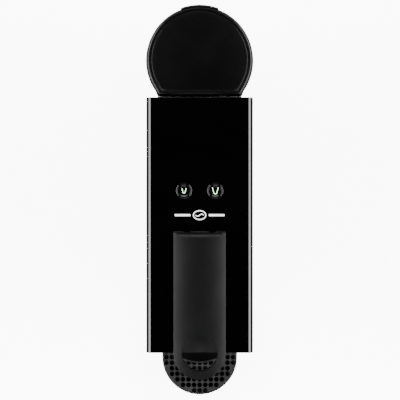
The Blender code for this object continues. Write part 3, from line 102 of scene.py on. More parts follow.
# buttons
BUTTON_RADIUS = 5.4 * MM
BUTTON_Y = (BUTTON_LOW.y + BUTTON_HIGH.y) / 2
BUTTON_X = (BUTTON_LOW.x + BUTTON_HIGH.x) / 2
BUTTON_DISH = 0.9 * MM
BUTTON_RIM = 0.4 * MM
PRINT_RAISED = 0.02 * MM

# tank
LID_RADIUS = LID_HIGH.x
LID_FRONT_Y = LID_LOW.y
LID_TOP = LID_HIGH.z
LID_PIVOT_Y = (LID_PIN_LOW.y + LID_PIN_HIGH.y) / 2
LID_PIVOT_Z = (LID_PIN_LOW.z + LID_PIN_HIGH.z) / 2
LID_BARREL_RADIUS = LID_TOP - LID_PIVOT_Z
TAB_PROUD = 0.7 * MM
TANK_Y = LID_HIGH.y - TAB_PROUD - LID_RADIUS
LID_CROWN = 3.0 * MM
TANK_INSET = 1.0 * MM
TANK_WALL = 2.0 * MM
TANK_TOP = 182.0 * MM
TANK_FLOOR = 30.0 * MM
TANGENT_DEG = 30.0

# tray
TRAY_RADIUS = GRID_HIGH.x
TRAY_Y = GRID_LOW.y + TRAY_RADIUS
TRAY_REAR_Y = GRID_HIGH.y
GRID_PITCH = 5.1 * MM
GRID_HOLE_RADIUS = 2.25 * MM
GRID_FIELD_RADIUS = 31.6 * MM


# ---------------------------------------------------------------- shapes
def arc(centre_u, centre_v, radius, start_deg, end_deg, steps):
    points = []
    for step in range(steps + 1):
        angle = radians(start_deg + (end_deg - start_deg) * step / steps)
        points.append((centre_u + radius * cos(angle), centre_v + radius * sin(angle)))
    return points


def circle(centre_u, centre_v, radius, sides):
    return arc(centre_u, centre_v, radius, 0.0, 360.0, sides)[:-1]


def place(point, height, axis):
    u, v = point
    if axis == "X":
        return Vector((height, u, v))
    if axis == "Y":
        return Vector((u, height, v))
    return Vector((u, v, height))


def prism(outline, low, high, axis="Z", shape=None):
    """Outline pushed along an axis: (x, y) for Z, (x, z) for Y and (y, z) for X."""
    return lofted([[place(p, low, axis) for p in outline], [place(p, high, axis) for p in outline]],
                  shape=shape)


def lofted(rings, closed=False, shape=None):
    """Solid through rings of equal length: capped at both ends, or closed into a loop."""
    shape = shape or bmesh.new()
    rows = [[shape.verts.new(point) for point in ring] for ring in rings]
    count = len(rows[0])
    faces = []
    pairs = list(zip(rows, rows[1:]))
    if closed:
        pairs.append((rows[-1], rows[0]))
    else:
        faces += [shape.faces.new(rows[0]), shape.faces.new(rows[-1][::-1])]
    for first, second in pairs:
        for index in range(count):
            after = (index + 1) % count
            corners = (first[index], second[index], second[after], first[after])
            faces.append(shape.faces.new(corners))
    bmesh.ops.recalc_face_normals(shape, faces=faces)
    return shape


def block(x_pair, y_pair, z_pair, shape=None):
    (left, right), (front, rear) = x_pair, y_pair
    outline = [(left, front), (right, front), (right, rear), (left, rear)]
    return prism(outline, z_pair[0], z_pair[1], "Z", shape)


def rod(centre, radius, low, high, axis="Z", sides=48, shape=None):
    return prism(circle(centre[0], centre[1], radius, sides), low, high, axis, shape)


def turned(profile, centre, axis="Z", sides=64, shape=None):
    """Profile of (radius, height) points turned about an axis; open ends lie on the axis."""
    shape = shape or bmesh.new()
    rows = []
    for radius, height in profile:
        points = [centre] if radius < 1e-9 else circle(centre[0], centre[1], radius, sides)
        rows.append([shape.verts.new(place(point, height, axis)) for point in points])
    pairs = list(zip(rows, rows[1:]))
    if len(rows[0]) > 1:
        pairs.append((rows[-1], rows[0]))
    faces = []
    for first, second in pairs:
        for index in range(sides):
            after = (index + 1) % sides
            corners = [first[index % len(first)], first[after % len(first)],
                       second[after % len(second)], second[index % len(second)]]
            unique = list(dict.fromkeys(corners))
            if len(unique) > 2:
                faces.append(shape.faces.new(unique))
    bmesh.ops.recalc_face_normals(shape, faces=faces)
    return shape


def mirrored(pair):
    low, high = pair
    return ((low, high), (-high, -low))


def new_object(name, shape):
    mesh = bpy.data.meshes.new(name)
    shape.to_mesh(mesh)
    shape.free()
    made = bpy.data.objects.new(name, mesh)
    bpy.context.scene.collection.objects.link(made)
    return made


def combine(target, shape, operation):
    """Boolean with a shape, applied to the target's mesh at once."""
    tool = new_object("tool", shape)
    modifier = target.modifiers.new("combine", "BOOLEAN")
    modifier.operation = operation
    modifier.solver = "EXACT"
    modifier.object = tool
    bpy.context.view_layer.update()
    evaluated = target.evaluated_get(bpy.context.evaluated_depsgraph_get())
    result = bpy.data.meshes.new_from_object(evaluated)
    target.modifiers.clear()
    target.data = result
    bpy.data.objects.remove(tool)


def add(target, shape):
    combine(target, shape, "UNION")


def cut(target, shape):
    combine(target, shape, "DIFFERENCE")


def keep(target, shape):
    combine(target, shape, "INTERSECT")


def round_edges(target, width, segments=3, angle=32.0):
    """Small radius on every edge sharper than an angle."""
    bevel = target.modifiers.new("edges", "BEVEL")
    bevel.width = width
    bevel.segments = segments
    bevel.limit_method = "ANGLE"
    bevel.angle_limit = radians(angle)
    bevel.use_clamp_overlap = True
    bevel.miter_outer = "MITER_ARC"


def shade(target, angle=32.0):
    target.data.shade_smooth()
    target.data.set_sharp_from_angle(angle=radians(angle))


def flatten_faces(target):
    """Large flat faces keep true normals, so that only the rounded edges catch light."""
    weighted = target.modifiers.new("normals", "WEIGHTED_NORMAL")
    weighted.keep_sharp = True
    weighted.weight = 100


def piece(target, body, finish, replaces=None, edge=0.0, segments=3, angle=32.0):
    """Give a new piece its material, its body and the frame node that it stands for."""
    target.data.materials.clear()
    target.data.materials.append(finish)
    shade(target, angle)
    if edge:
        round_edges(target, edge, segments, angle)
    flatten_faces(target)
    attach(target, body)
    if replaces:
        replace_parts(target, replaces)


# ---------------------------------------------------------------- materials
def shader_material(name):
    made = bpy.data.materials.new(name)
    made.use_nodes = True
    tree = made.node_tree
    return made, tree, tree.nodes["Principled BSDF"]


def link(tree, source, target):
    tree.links.new(source, target)


def grain(tree, scale, detail=2.0, stretch=None):
    """Noise over the object's own coordinates, stretched along an axis where asked."""
    coordinates = tree.nodes.new("ShaderNodeTexCoord")
    noise = tree.nodes.new("ShaderNodeTexNoise")
    noise.inputs["Scale"].default_value = scale
    noise.inputs["Detail"].default_value = detail
    if stretch:
        mapping = tree.nodes.new("ShaderNodeMapping")
        mapping.inputs["Scale"].default_value = stretch
        link(tree, coordinates.outputs["Object"], mapping.inputs["Vector"])
        link(tree, mapping.outputs["Vector"], noise.inputs["Vector"])
    else:
        link(tree, coordinates.outputs["Object"], noise.inputs["Vector"])
    return noise.outputs["Fac"]


def spread(tree, source, low, high):
    """Noise value mapped to a range, with its middle stretched over the whole of it."""
    node = tree.nodes.new("ShaderNodeMapRange")
    node.inputs["From Min"].default_value = 0.3
    node.inputs["From Max"].default_value = 0.7
    node.inputs["To Min"].default_value = low
    node.inputs["To Max"].default_value = high
    link(tree, source, node.inputs["Value"])
    return node.outputs["Result"]


def tint(tree, source, dark, light):
    """Colour between two close shades, driven by noise."""
    ramp = tree.nodes.new("ShaderNodeValToRGB")
    ramp.color_ramp.elements[0].position = 0.35
    ramp.color_ramp.elements[1].position = 0.65
    ramp.color_ramp.elements[0].color = (*dark, 1.0)
    ramp.color_ramp.elements[1].color = (*light, 1.0)
    link(tree, source, ramp.inputs["Fac"])
    return ramp.outputs["Color"]


def moulded(name, colour, roughness, texture, depth, vary=0.04, coat=0.0, level=0.5):
    """Moulded plastic or rubber: a fine texture, slight colour and roughness variation."""
    made, tree, shader = shader_material(name)
    broad = grain(tree, 45.0, 3.0)
    fine = grain(tree, texture, 3.0)
    dark = tuple(channel * 0.85 for channel in colour)
    light = tuple(channel * 1.15 for channel in colour)
    link(tree, tint(tree, broad, dark, light), shader.inputs["Base Color"])
    link(tree, spread(tree, broad, roughness - vary, roughness + vary), shader.inputs["Roughness"])
    bump = tree.nodes.new("ShaderNodeBump")
    bump.inputs["Strength"].default_value = depth
    bump.inputs["Distance"].default_value = 0.05 * MM
    link(tree, fine, bump.inputs["Height"])
    link(tree, bump.outputs["Normal"], shader.inputs["Normal"])
    shader.inputs["Coat Weight"].default_value = coat
    shader.inputs["Coat Roughness"].default_value = 0.03
    shader.inputs["Specular IOR Level"].default_value = level
    return made


def polished(name, colour, roughness):
    """Piano-black lacquered plastic with faint polishing lines and a trace of orange peel."""
    made, tree, shader = shader_material(name)
    broad = grain(tree, 30.0, 4.0)
    lines = grain(tree, 900.0, 2.0, stretch=(1.0, 0.03, 1.0))
    peel = grain(tree, 160.0, 1.0)
    dark = tuple(channel * 0.8 for channel in colour)
    light = tuple(channel * 1.2 for channel in colour)
    link(tree, tint(tree, broad, dark, light), shader.inputs["Base Color"])
    link(tree, spread(tree, lines, roughness, roughness * 1.6), shader.inputs["Roughness"])
    bump = tree.nodes.new("ShaderNodeBump")
    bump.inputs["Strength"].default_value = 0.02
    bump.inputs["Distance"].default_value = 0.05 * MM
    link(tree, peel, bump.inputs["Height"])
    link(tree, bump.outputs["Normal"], shader.inputs["Normal"])
    return made


def metal(name, colour, roughness, stretch, depth):
    """Turned, brushed or cast metal: streaks or pits in roughness and height."""
    made, tree, shader = shader_material(name)
    streaks = grain(tree, 1500.0, 3.0, stretch=stretch)
    dark = tuple(channel * 0.82 for channel in colour)
    link(tree, tint(tree, streaks, dark, colour), shader.inputs["Base Color"])
    link(tree, spread(tree, streaks, roughness * 0.75, roughness * 1.3), shader.inputs["Roughness"])
    bump = tree.nodes.new("ShaderNodeBump")
    bump.inputs["Strength"].default_value = depth
    bump.inputs["Distance"].default_value = 0.03 * MM
    link(tree, streaks, bump.inputs["Height"])
    link(tree, bump.outputs["Normal"], shader.inputs["Normal"])
    shader.inputs["Metallic"].default_value = 1.0
    return made


def clear_plastic(name, colour, roughness, transmission):
    """Smoked transparent plastic with slight flow marks."""
    made, tree, shader = shader_material(name)
    flow = grain(tree, 40.0, 2.0, stretch=(1.0, 1.0, 0.3))
    dark = tuple(channel * 0.9 for channel in colour)
    link(tree, tint(tree, flow, dark, colour), shader.inputs["Base Color"])
    link(tree, spread(tree, flow, roughness * 0.7, roughness * 1.4), shader.inputs["Roughness"])
    shader.inputs["Transmission Weight"].default_value = transmission
    shader.inputs["IOR"].default_value = 1.5
    return made


def printed(name, colour, glow=0.0):
    """Printed or backlit mark, slightly uneven like screen print."""
    made, tree, shader = shader_material(name)
    uneven = grain(tree, 2500.0, 2.0)
    dark = tuple(channel * 0.88 for channel in colour)
    link(tree, tint(tree, uneven, dark, colour), shader.inputs["Base Color"])
    link(tree, spread(tree, uneven, 0.4, 0.55), shader.inputs["Roughness"])
    if glow:
        shader.inputs["Emission Color"].default_value = (*colour, 1.0)
        shader.inputs["Emission Strength"].default_value = glow
    return made


def circuit(name):
    """Solder mask with a pattern of tracks under it."""
    made, tree, shader = shader_material(name)
    coordinates = tree.nodes.new("ShaderNodeTexCoord")
    tracks = tree.nodes.new("ShaderNodeTexBrick")
    tracks.inputs["Scale"].default_value = 120.0
    tracks.inputs["Color1"].default_value = (0.012, 0.1, 0.035, 1.0)
    tracks.inputs["Color2"].default_value = (0.016, 0.13, 0.05, 1.0)
    tracks.inputs["Mortar"].default_value = (0.03, 0.2, 0.08, 1.0)
    mapping = tree.nodes.new("ShaderNodeMapping")
    mapping.inputs["Rotation"].default_value = (0.0, pi / 2, 0.0)
    link(tree, coordinates.outputs["Object"], mapping.inputs["Vector"])
    link(tree, mapping.outputs["Vector"], tracks.inputs["Vector"])
    link(tree, tracks.outputs["Color"], shader.inputs["Base Color"])
    link(tree, spread(tree, grain(tree, 300.0), 0.3, 0.45), shader.inputs["Roughness"])
    return made


DEEP_BLACK = (0.0003, 0.0003, 0.00032)
GLOSS = polished("piano_black", (0.0003, 0.0003, 0.00033), 0.04)
SATIN = moulded("satin_black", DEEP_BLACK, 0.3, 5200.0, 0.08, vary=0.01, level=0.32)
LID_FINISH = moulded("lid_black", DEEP_BLACK, 0.24, 5200.0, 0.08, vary=0.01, level=0.32)
LEVER_FINISH = moulded("lever_black", (0.0004, 0.0004, 0.00042), 0.34, 4200.0, 0.15,
                       vary=0.015, level=0.32)
MATTE = moulded("matte_black", (0.002, 0.002, 0.0021), 0.45, 3200.0, 0.3)
GRID_FINISH = moulded("grid_black", (0.004, 0.004, 0.0042), 0.42, 3600.0, 0.3)
GREY = moulded("grey_plastic", (0.2, 0.2, 0.21), 0.5, 2600.0, 0.3)
RUBBER = moulded("rubber_black", (0.014, 0.014, 0.014), 0.78, 2400.0, 0.7)
SILICONE = moulded("silicone_white", (0.62, 0.62, 0.6), 0.5, 1500.0, 0.2)
BUTTON_FINISH = moulded("button_black", (0.0006, 0.0006, 0.0006), 0.1, 6000.0, 0.05, vary=0.02)
STEEL = metal("turned_steel", (0.56, 0.56, 0.57), 0.28, (1.0, 0.05, 1.0), 0.25)
ALLOY = metal("cast_alloy", (0.46, 0.46, 0.47), 0.5, (0.6, 0.6, 0.6), 0.8)
SMOKE = clear_plastic("smoked_plastic", (0.42, 0.42, 0.43), 0.04, 1.0)
BOARD = circuit("circuit_board")
PRINT = printed("white_print", (0.82, 0.82, 0.82))
GLOW = printed("green_glow", (0.62, 0.95, 0.6), glow=1.1)

NODE_FINISHES = {
    "matte_black": MATTE, "grey_plastic": GREY, "rubber": RUBBER, "silicone": SILICONE,
    "steel": STEEL, "cast_alloy": ALLOY, "circuit_board": BOARD, "satin_black": SATIN,
    "gloss_shell": GLOSS, "smoked_clear": SMOKE,
}


def finish_nodes():
    """Material on every frame node, and small edge radii on those that stay in view."""
    slots = {part["node"]: part["material_slot"] for part in frame["record"]["subparts"]}
    for name, node in frame["nodes"].items():
        node.data.materials.clear()
        node.data.materials.append(NODE_FINISHES[slots[name]])
        shade(node)
        if not name.startswith("hose") and name not in REPLACED:
            round_edges(node, 0.25 * MM, 2, 40.0)
            flatten_faces(node)


# ---------------------------------------------------------------- body
def head_front(height):
    """Front edge of the body at a height: column below, head above, a soft S between."""
    share = min(max((height - CHIN_LOW) / (CHIN_HIGH - CHIN_LOW), 0.0), 1.0)
    share = share * share * (3.0 - 2.0 * share)
    return COLUMN_FRONT_Y + (SHELL_LOW.y - COLUMN_FRONT_Y) * share


def front_line(low, high, inset, steps=28):
    inner = [CHIN_LOW + (CHIN_HIGH - CHIN_LOW) * step / steps for step in range(steps + 1)]
    heights = [low, *[height for height in inner if low < height < high], high]
    return [(head_front(height) + inset, height) for height in heights]


def make_shell():
    """Inverted U with rounded long edges, cut to the front line, with its openings."""
    right, high = BODY_HALF - EDGE_RADIUS, BODY_TOP - EDGE_RADIUS
    inner_half, inner = BODY_HALF - WALL, EDGE_RADIUS - WALL
    outline = [(BODY_HALF, SHELL_LOW.z), *arc(right, high, EDGE_RADIUS, 0.0, 90.0, 20)]
    outline += [*arc(-right, high, EDGE_RADIUS, 90.0, 180.0, 20), (-BODY_HALF, SHELL_LOW.z)]
    outline += [(-inner_half, SHELL_LOW.z), *arc(-right, high, inner, 180.0, 90.0, 12)]
    outline += [*arc(right, high, inner, 90.0, 0.0, 12), (inner_half, SHELL_LOW.z)]
    shell = new_object("shell_polished", prism(outline, SHELL_LOW.y - MM, SHELL_HIGH.y, "Y"))
    beyond = SHELL_LOW.y - 40 * MM
    front = front_line(SHELL_LOW.z - MM, BODY_TOP + MM, 0.0)
    front += [(beyond, BODY_TOP + MM), (beyond, SHELL_LOW.z - MM)]
    cut(shell, prism(front, -2 * BODY_HALF, 2 * BODY_HALF, "X"))
    half = LEVER_HALF - 0.7 * MM
    below, above = BODY_TOP - WALL - MM, BODY_TOP + MM
    opening = block((-half, half), (SHELL_LOW.y - 2 * MM, PIVOT_Y + 4.8 * MM), (below, above))
    for side in (-1, 1):
        rod((side * BUTTON_X, BUTTON_Y), BUTTON_RADIUS + 0.4 * MM, below, above, shape=opening)
    cut(shell, opening)
    piece(shell, "machine", GLOSS, "body_shell", 0.35 * MM, 3, 50.0)


def make_fascia():
    """Matte front of the head, which follows the shell's front line."""
    spout_low, spout_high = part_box("spout")
    duct_low, duct_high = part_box("coffee_duct")
    inset = FASCIA_LOW.y - SHELL_LOW.y
    front = front_line(FASCIA_LOW.z, FASCIA_HIGH.z, inset)
    rear = front_line(FASCIA_LOW.z, FASCIA_HIGH.z, inset + WALL)
    section = front + rear[::-1]
    fascia = new_object("fascia_moulded", prism(section, FASCIA_LOW.x, FASCIA_HIGH.x, "X"))
    radius = 5.7 * MM
    spout_y = (spout_low.y + spout_high.y) / 2
    cut(fascia, rod((0.0, spout_y), radius, FASCIA_LOW.z - MM, spout_high.z + MM))
    cut(fascia, block((-5.6 * MM, 5.6 * MM), (spout_y - 4 * MM, COLUMN_FRONT_Y + 8 * MM),
                      (duct_low.z - 2 * MM, duct_high.z + MM)))
    piece(fascia, "machine", MATTE, "fascia", 0.3 * MM, 2, 50.0)


def make_nose():
    """Half-round outlet housing with a softened top edge and a fine groove near its foot."""
    radius = NOSE_RADIUS
    centre_y = NOSE_LOW.y + radius
    low, high = NOSE_LOW.z, NOSE_HIGH.z
    wall = 2.0 * MM
    top = arc(radius - 1.6 * MM, high - 1.6 * MM, 1.6 * MM, 0.0, 90.0, 6)
    profile = [(radius - wall, low), (radius - 0.3 * MM, low), (radius, low + 0.3 * MM),
               (radius, low + 6.0 * MM), (radius - 0.4 * MM, low + 6.2 * MM),
               (radius - 0.4 * MM, low + 6.8 * MM), (radius, low + 7.0 * MM), *top,
               (0.0, high), (0.0, high - wall), (radius - wall, high - wall)]
    nose = new_object("nose_moulded", turned(profile, (0.0, centre_y), sides=128))
    keep(nose, block((-2 * radius, 2 * radius), (NOSE_LOW.y - MM, NOSE_HIGH.y),
                     (low - MM, high + MM)))
    piece(nose, "machine", SATIN, "outlet_nose")


def make_spout():
    """Coffee outlet tube with a stepped collar and a chamfered mouth."""
    low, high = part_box("spout")
    centre = (0.0, (low.y + high.y) / 2)
    bore, tube, collar = 3.6 * MM, 5.2 * MM, (high.x - low.x) / 2
    profile = [(bore, low.z + 0.6 * MM), (bore + 0.6 * MM, low.z), (collar - 0.8 * MM, low.z)]
    profile += arc(collar - 0.8 * MM, low.z + 0.8 * MM, 0.8 * MM, -90.0, 0.0, 5)[1:]
    profile += [(collar, low.z + 4.4 * MM), (tube + 0.2 * MM, low.z + 6.0 * MM),
                (tube, low.z + 6.6 * MM), (tube, high.z), (bore, high.z)]
    spout = new_object("spout_turned", turned(profile, centre))
    piece(spout, "machine", SATIN, "spout")


# ---------------------------------------------------------------- lever
def crown_section(drop, half, low, steps=40):
    """(x, z) section under the crowned top: an arc that falls towards both long edges."""
    points = [(-half, low), (half, low)]
    for step in range(steps + 1):
        x = half - 2 * half * step / steps
        points.append((x, LEVER_BOX_HIGH.z - drop - LEVER_CROWN * (x / LEVER_HALF) ** 2))
    return points


def make_lever():
    """Arched lever with a finger ring, a rounded pivot end, and its two cranks and pins."""
    tip = RING_Y - LEVER_HALF
    top = LEVER_BOX_HIGH.z
    side = [(tip - MM, LEVER_LOW), (PIVOT_Y, LEVER_LOW)]
    side += arc(PIVOT_Y, PIVOT_Z, BARREL_RADIUS, -60.0, 90.0, 30)
    side += [(tip - MM, top)]
    lever = new_object("lever_moulded", prism(side, -LEVER_HALF - MM, LEVER_HALF + MM, "X"))
    plan = [(-LEVER_HALF, 0.0), *arc(0.0, RING_Y, LEVER_HALF, 180.0, 360.0, 72), (LEVER_HALF, 0.0)]
    keep(lever, prism(plan, LEVER_LOW - 40 * MM, top + 20 * MM))
    crown = []
    for y, drop in ((10 * MM, 0.0), (PIVOT_Y, 0.0), (tip - MM, LEVER_FALL)):
        section = crown_section(drop, LEVER_HALF, LEVER_LOW - 40 * MM)
        crown.append([Vector((x, y, z)) for x, z in section])
    keep(lever, lofted(crown))
    cut(lever, rod((0.0, RING_Y), RING_HOLE_RADIUS, LEVER_LOW - MM, top + MM, sides=96))
    hollow = crown_section(LEVER_WALL, LEVER_HALF - LEVER_WALL, LEVER_LOW - MM, 20)
    ring_rear = RING_Y + RING_HOLE_RADIUS + 3.0 * MM
    cut(lever, prism(hollow, ring_rear, PIVOT_Y - BARREL_RADIUS - 2 * MM, "Y"))
    notches = bmesh.new()
    for low, high in mirrored((7.5 * MM, 12.5 * MM)):
        block((low, high), (PIVOT_Y - 3.0 * MM, PIVOT_Y + 10 * MM),
              (LEVER_LOW - 4 * MM, PIVOT_Z + 3.0 * MM), notches)
    cut(lever, notches)
    cut(lever, rod((PIVOT_Y, PIVOT_Z), SHAFT_BORE, -LEVER_HALF - MM, LEVER_HALF + MM, "X", 32))
    piece(lever, "lever", LEVER_FINISH, "lever", 0.9 * MM, 5, 50.0)

    turn = 14.0
    length = 24.0 * MM
    pin_y, pin_z = PIVOT_Y + length * sin(radians(turn)), PIVOT_Z - length * cos(radians(turn))
    along = Vector((sin(radians(turn)), -cos(radians(turn))))
    across = Vector((along.y, -along.x))
    start = Vector((PIVOT_Y, PIVOT_Z)) + along * 3.6 * MM
    outline = [start + across * 2.2 * MM, start - across * 2.2 * MM]
    outline += [Vector(point) for point in
                arc(pin_y, pin_z, 2.8 * MM, turn + 30.0, turn - 210.0, 20)]
    for name, pair, pin in zip(("right", "left"), mirrored((14.0 * MM, 17.0 * MM)),
                               mirrored((16.0 * MM, LEVER_BOX_HIGH.x))):
        arm = new_object(f"crank_arm_{name}", prism([tuple(p) for p in outline], *pair, "X"))
        add(arm, rod((pin_y, pin_z), 1.5 * MM, pin[0], pin[1], "X", 32))
        piece(arm, "lever", LEVER_FINISH, None, 0.3 * MM, 2, 40.0)


# ---------------------------------------------------------------- water tank
def tank_ring(inset, height, steps=120, front_steps=10):
    """The tank's plan at a height: a circle that runs on, as tangents, to a flat front."""
    radius = LID_RADIUS - inset
    front = LID_FRONT_Y + min(inset, 8 * MM)
    tangent_y = TANK_Y - radius * sin(radians(TANGENT_DEG))
    if tangent_y < front + 0.2 * MM:
        return [Vector((*point, height)) for point in
                circle(0.0, TANK_Y, radius, steps + 1 + front_steps + 2)]
    across, along = cos(radians(TANGENT_DEG)), sin(radians(TANGENT_DEG))
    corner = radius * across - (tangent_y - front) * along / across
    round_part = arc(0.0, TANK_Y, radius, -TANGENT_DEG, 180.0 + TANGENT_DEG, steps)
    points = [Vector((*point, height)) for point in round_part]
    for step in range(front_steps + 2):
        share = step / (front_steps + 1)
        points.append(Vector((-corner + 2 * corner * share, front, height)))
    return points


def round_ring(plan, radius, height):
    """Circle about the tank's axis whose points stand in line with a plan's points."""
    points = []
    for point in plan:
        angle = atan2(point.y - TANK_Y, point.x)
        points.append(Vector((radius * cos(angle), TANK_Y + radius * sin(angle), height)))
    return points


def scaled_ring(plan, share, height):
    """A plan drawn in towards the tank's axis by a share."""
    return [Vector((point.x * share, TANK_Y + (point.y - TANK_Y) * share, height))
            for point in plan]


def crowned(plan, depth):
    """A plan laid on the lid's crown, which falls away to both sides, or a depth under it."""
    return [Vector((point.x, point.y, LID_TOP - LID_CROWN * (point.x / LID_RADIUS) ** 2 - depth))
            for point in plan]


def make_lid():
    """Crowned lid: soft edge, a fine groove inside it, a skirt, and a rounded hinge end."""
    thick = 3.0 * MM
    soft, groove, skirt = 1.0 * MM, 4.2 * MM, 2.3 * MM
    inner = tank_ring(skirt, 0.0)
    rings = [crowned(scaled_ring(inner, 0.01, 0.0), thick),
             crowned(scaled_ring(inner, 0.5, 0.0), thick),
             crowned(inner, thick), tank_ring(skirt, LID_LOW.z),
             tank_ring(0.3 * MM, LID_LOW.z), tank_ring(0.0, LID_LOW.z + 0.4 * MM)]
    rings.append(crowned(tank_ring(0.1 * MM, 0.0), 3.6 * MM))
    for point in arc(0.0, 0.0, soft, 24.0, 88.0, 8):
        inset = 1.5 * MM + soft * cos(radians(24.0)) - point[0]
        rings.append(crowned(tank_ring(inset, 0.0), soft - point[1]))
    groove_mm = ((-0.25, 0.0), (-0.05, 0.1), (0.1, 0.35), (0.4, 0.35), (0.55, 0.1), (0.75, 0.0))
    for inset, depth in groove_mm:
        rings.append(crowned(tank_ring(groove + inset * MM, 0.0), depth * MM))
    edge = tank_ring(groove + 0.75 * MM, 0.0)
    for step in range(1, 12):
        rings.append(crowned(scaled_ring(edge, 1.0 - step / 12, 0.0), 0.0))
    rings.append(crowned(scaled_ring(edge, 0.01, 0.0), 0.0))
    lid = new_object("lid_moulded", lofted(rings))
    low = LID_PIVOT_Z - LID_BARREL_RADIUS
    side = arc(LID_PIVOT_Y, LID_PIVOT_Z, LID_BARREL_RADIUS, 270.0, 100.0, 30)
    side += [(LID_PIVOT_Y, LID_TOP + MM), (LID_HIGH.y + MM, LID_TOP + MM),
             (LID_HIGH.y + MM, LID_LOW.z - MM), (LID_PIVOT_Y + 6.0 * MM, LID_LOW.z - MM),
             (LID_PIVOT_Y + 4.0 * MM, low)]
    keep(lid, prism(side, -2 * LID_RADIUS, 2 * LID_RADIUS, "X"))
    notches = bmesh.new()
    for pair in mirrored((15.5 * MM, 20.5 * MM)):
        block(pair, (LID_FRONT_Y - MM, LID_PIVOT_Y + 2.2 * MM),
              (low - MM, LID_PIVOT_Z + 2.2 * MM), notches)
    cut(lid, notches)
    piece(lid, "tank_lid", LID_FINISH, "tank_lid")

    spread_deg = 20.3
    outer = arc(0.0, TANK_Y, LID_RADIUS + TAB_PROUD, 90.0 - spread_deg, 90.0 + spread_deg, 28)
    inside = arc(0.0, TANK_Y, LID_RADIUS - 0.6 * MM, 90.0 + spread_deg, 90.0 - spread_deg, 28)
    tab = new_object("lid_tab", prism(outer + inside, LID_TOP - 6.0 * MM, LID_TOP - 1.7 * MM))
    piece(tab, "tank_lid", MATTE, None, 0.25 * MM, 2, 40.0)


def make_tank():
    """Smoked tank: thin wall, rounded foot, outlet neck, rim bead and the lugs for its lid."""
    top, floor = TANK_TOP, TANK_FLOOR
    foot, inner_foot = 2.5 * MM, 1.5 * MM
    plan = tank_ring(TANK_INSET, 0.0)
    inner = tank_ring(TANK_INSET + TANK_WALL, 0.0)
    neck, bore = 7.0 * MM, 5.0 * MM
    rings = [round_ring(plan, neck, TANK_LOW.z), round_ring(plan, neck, floor)]
    for point in arc(0.0, 0.0, foot, -90.0, 0.0, 7):
        rings.append(tank_ring(TANK_INSET + foot - point[0], floor + foot + point[1]))
    bead = TANK_INSET - 0.3 * MM
    rings += [tank_ring(TANK_INSET, top - 3.2 * MM), tank_ring(bead, top - 2.9 * MM),
              tank_ring(bead, top - 0.3 * MM), tank_ring(TANK_INSET, top),
              tank_ring(TANK_INSET + TANK_WALL, top)]
    for point in arc(0.0, 0.0, inner_foot, 0.0, -90.0, 5):
        inset = TANK_INSET + TANK_WALL + inner_foot - point[0]
        rings.append(tank_ring(inset, floor + TANK_WALL + inner_foot + point[1]))
    rings += [round_ring(inner, bore, floor + TANK_WALL), round_ring(inner, bore, TANK_LOW.z)]
    tank = new_object("tank_moulded", lofted(rings, closed=True))
    piece(tank, "water_tank", SMOKE, "water_tank")

    for name, pair in zip(("right", "left"), mirrored((16.0 * MM, 20.0 * MM))):
        radius = 1.8 * MM
        outline = [(LID_PIVOT_Y + radius, top - 8 * MM)]
        outline += arc(LID_PIVOT_Y, LID_PIVOT_Z, radius, 0.0, 180.0, 16)
        front = LID_FRONT_Y + 3.1 * MM
        outline += [(front, top - 0.5 * MM), (front, top - 11 * MM)]
        lug = new_object(f"tank_lug_{name}", prism(outline, *pair, "X"))
        cut(lug, rod((LID_PIVOT_Y, LID_PIVOT_Z), 1.2 * MM, -21 * MM, 21 * MM, "X", 24))
        piece(lug, "water_tank", SMOKE, None, 0.15 * MM, 2, 40.0)

    for index, height in enumerate((60.0, 85.0, 110.0, 135.0, 160.0)):
        start = 150.0 if index in (0, 4) else 156.0
        outer = arc(0.0, TANK_Y, LID_RADIUS - TANK_INSET + 0.12 * MM, start, 170.0, 12)
        inside = arc(0.0, TANK_Y, LID_RADIUS - TANK_INSET - 0.1 * MM, 170.0, start, 12)
        bar = prism(outer + inside, (height - 0.35) * MM, (height + 0.35) * MM)
        mark = new_object(f"level_mark_{index}", bar)
        piece(mark, "water_tank", PRINT)


# ---------------------------------------------------------------- buttons and marks
def dish_height(x, y):
    """Height of a button's dished top at a place measured from its centre."""
    share = min(sqrt(x * x + y * y) / (BUTTON_RADIUS - BUTTON_RIM), 1.0)
    return BUTTON_HIGH.z - BUTTON_DISH * (1.0 - share * share)


def stroke(path, width, height, depth, shape, closed=False):
    """Raised line of a width along a path, its top at height(x, y)."""
    points = [Vector(point) for point in path]
    left, right = [], []
    count = len(points)
    for index, point in enumerate(points):
        before = points[(index - 1) % count] if closed or index else point
        after = points[(index + 1) % count] if closed or index < count - 1 else point
        along = (after - before).normalized()
        across = Vector((-along.y, along.x)) * width / 2
        left.append(point + across)
        right.append(point - across)
    rings = []
    for one, two in zip(left, right):
        rings.append([Vector((one.x, one.y, height(one) + depth)),
                      Vector((two.x, two.y, height(two) + depth)),
                      Vector((two.x, two.y, height(two) - depth)),
                      Vector((one.x, one.y, height(one) - depth))])
    lofted(rings, closed=closed, shape=shape)
    return shape


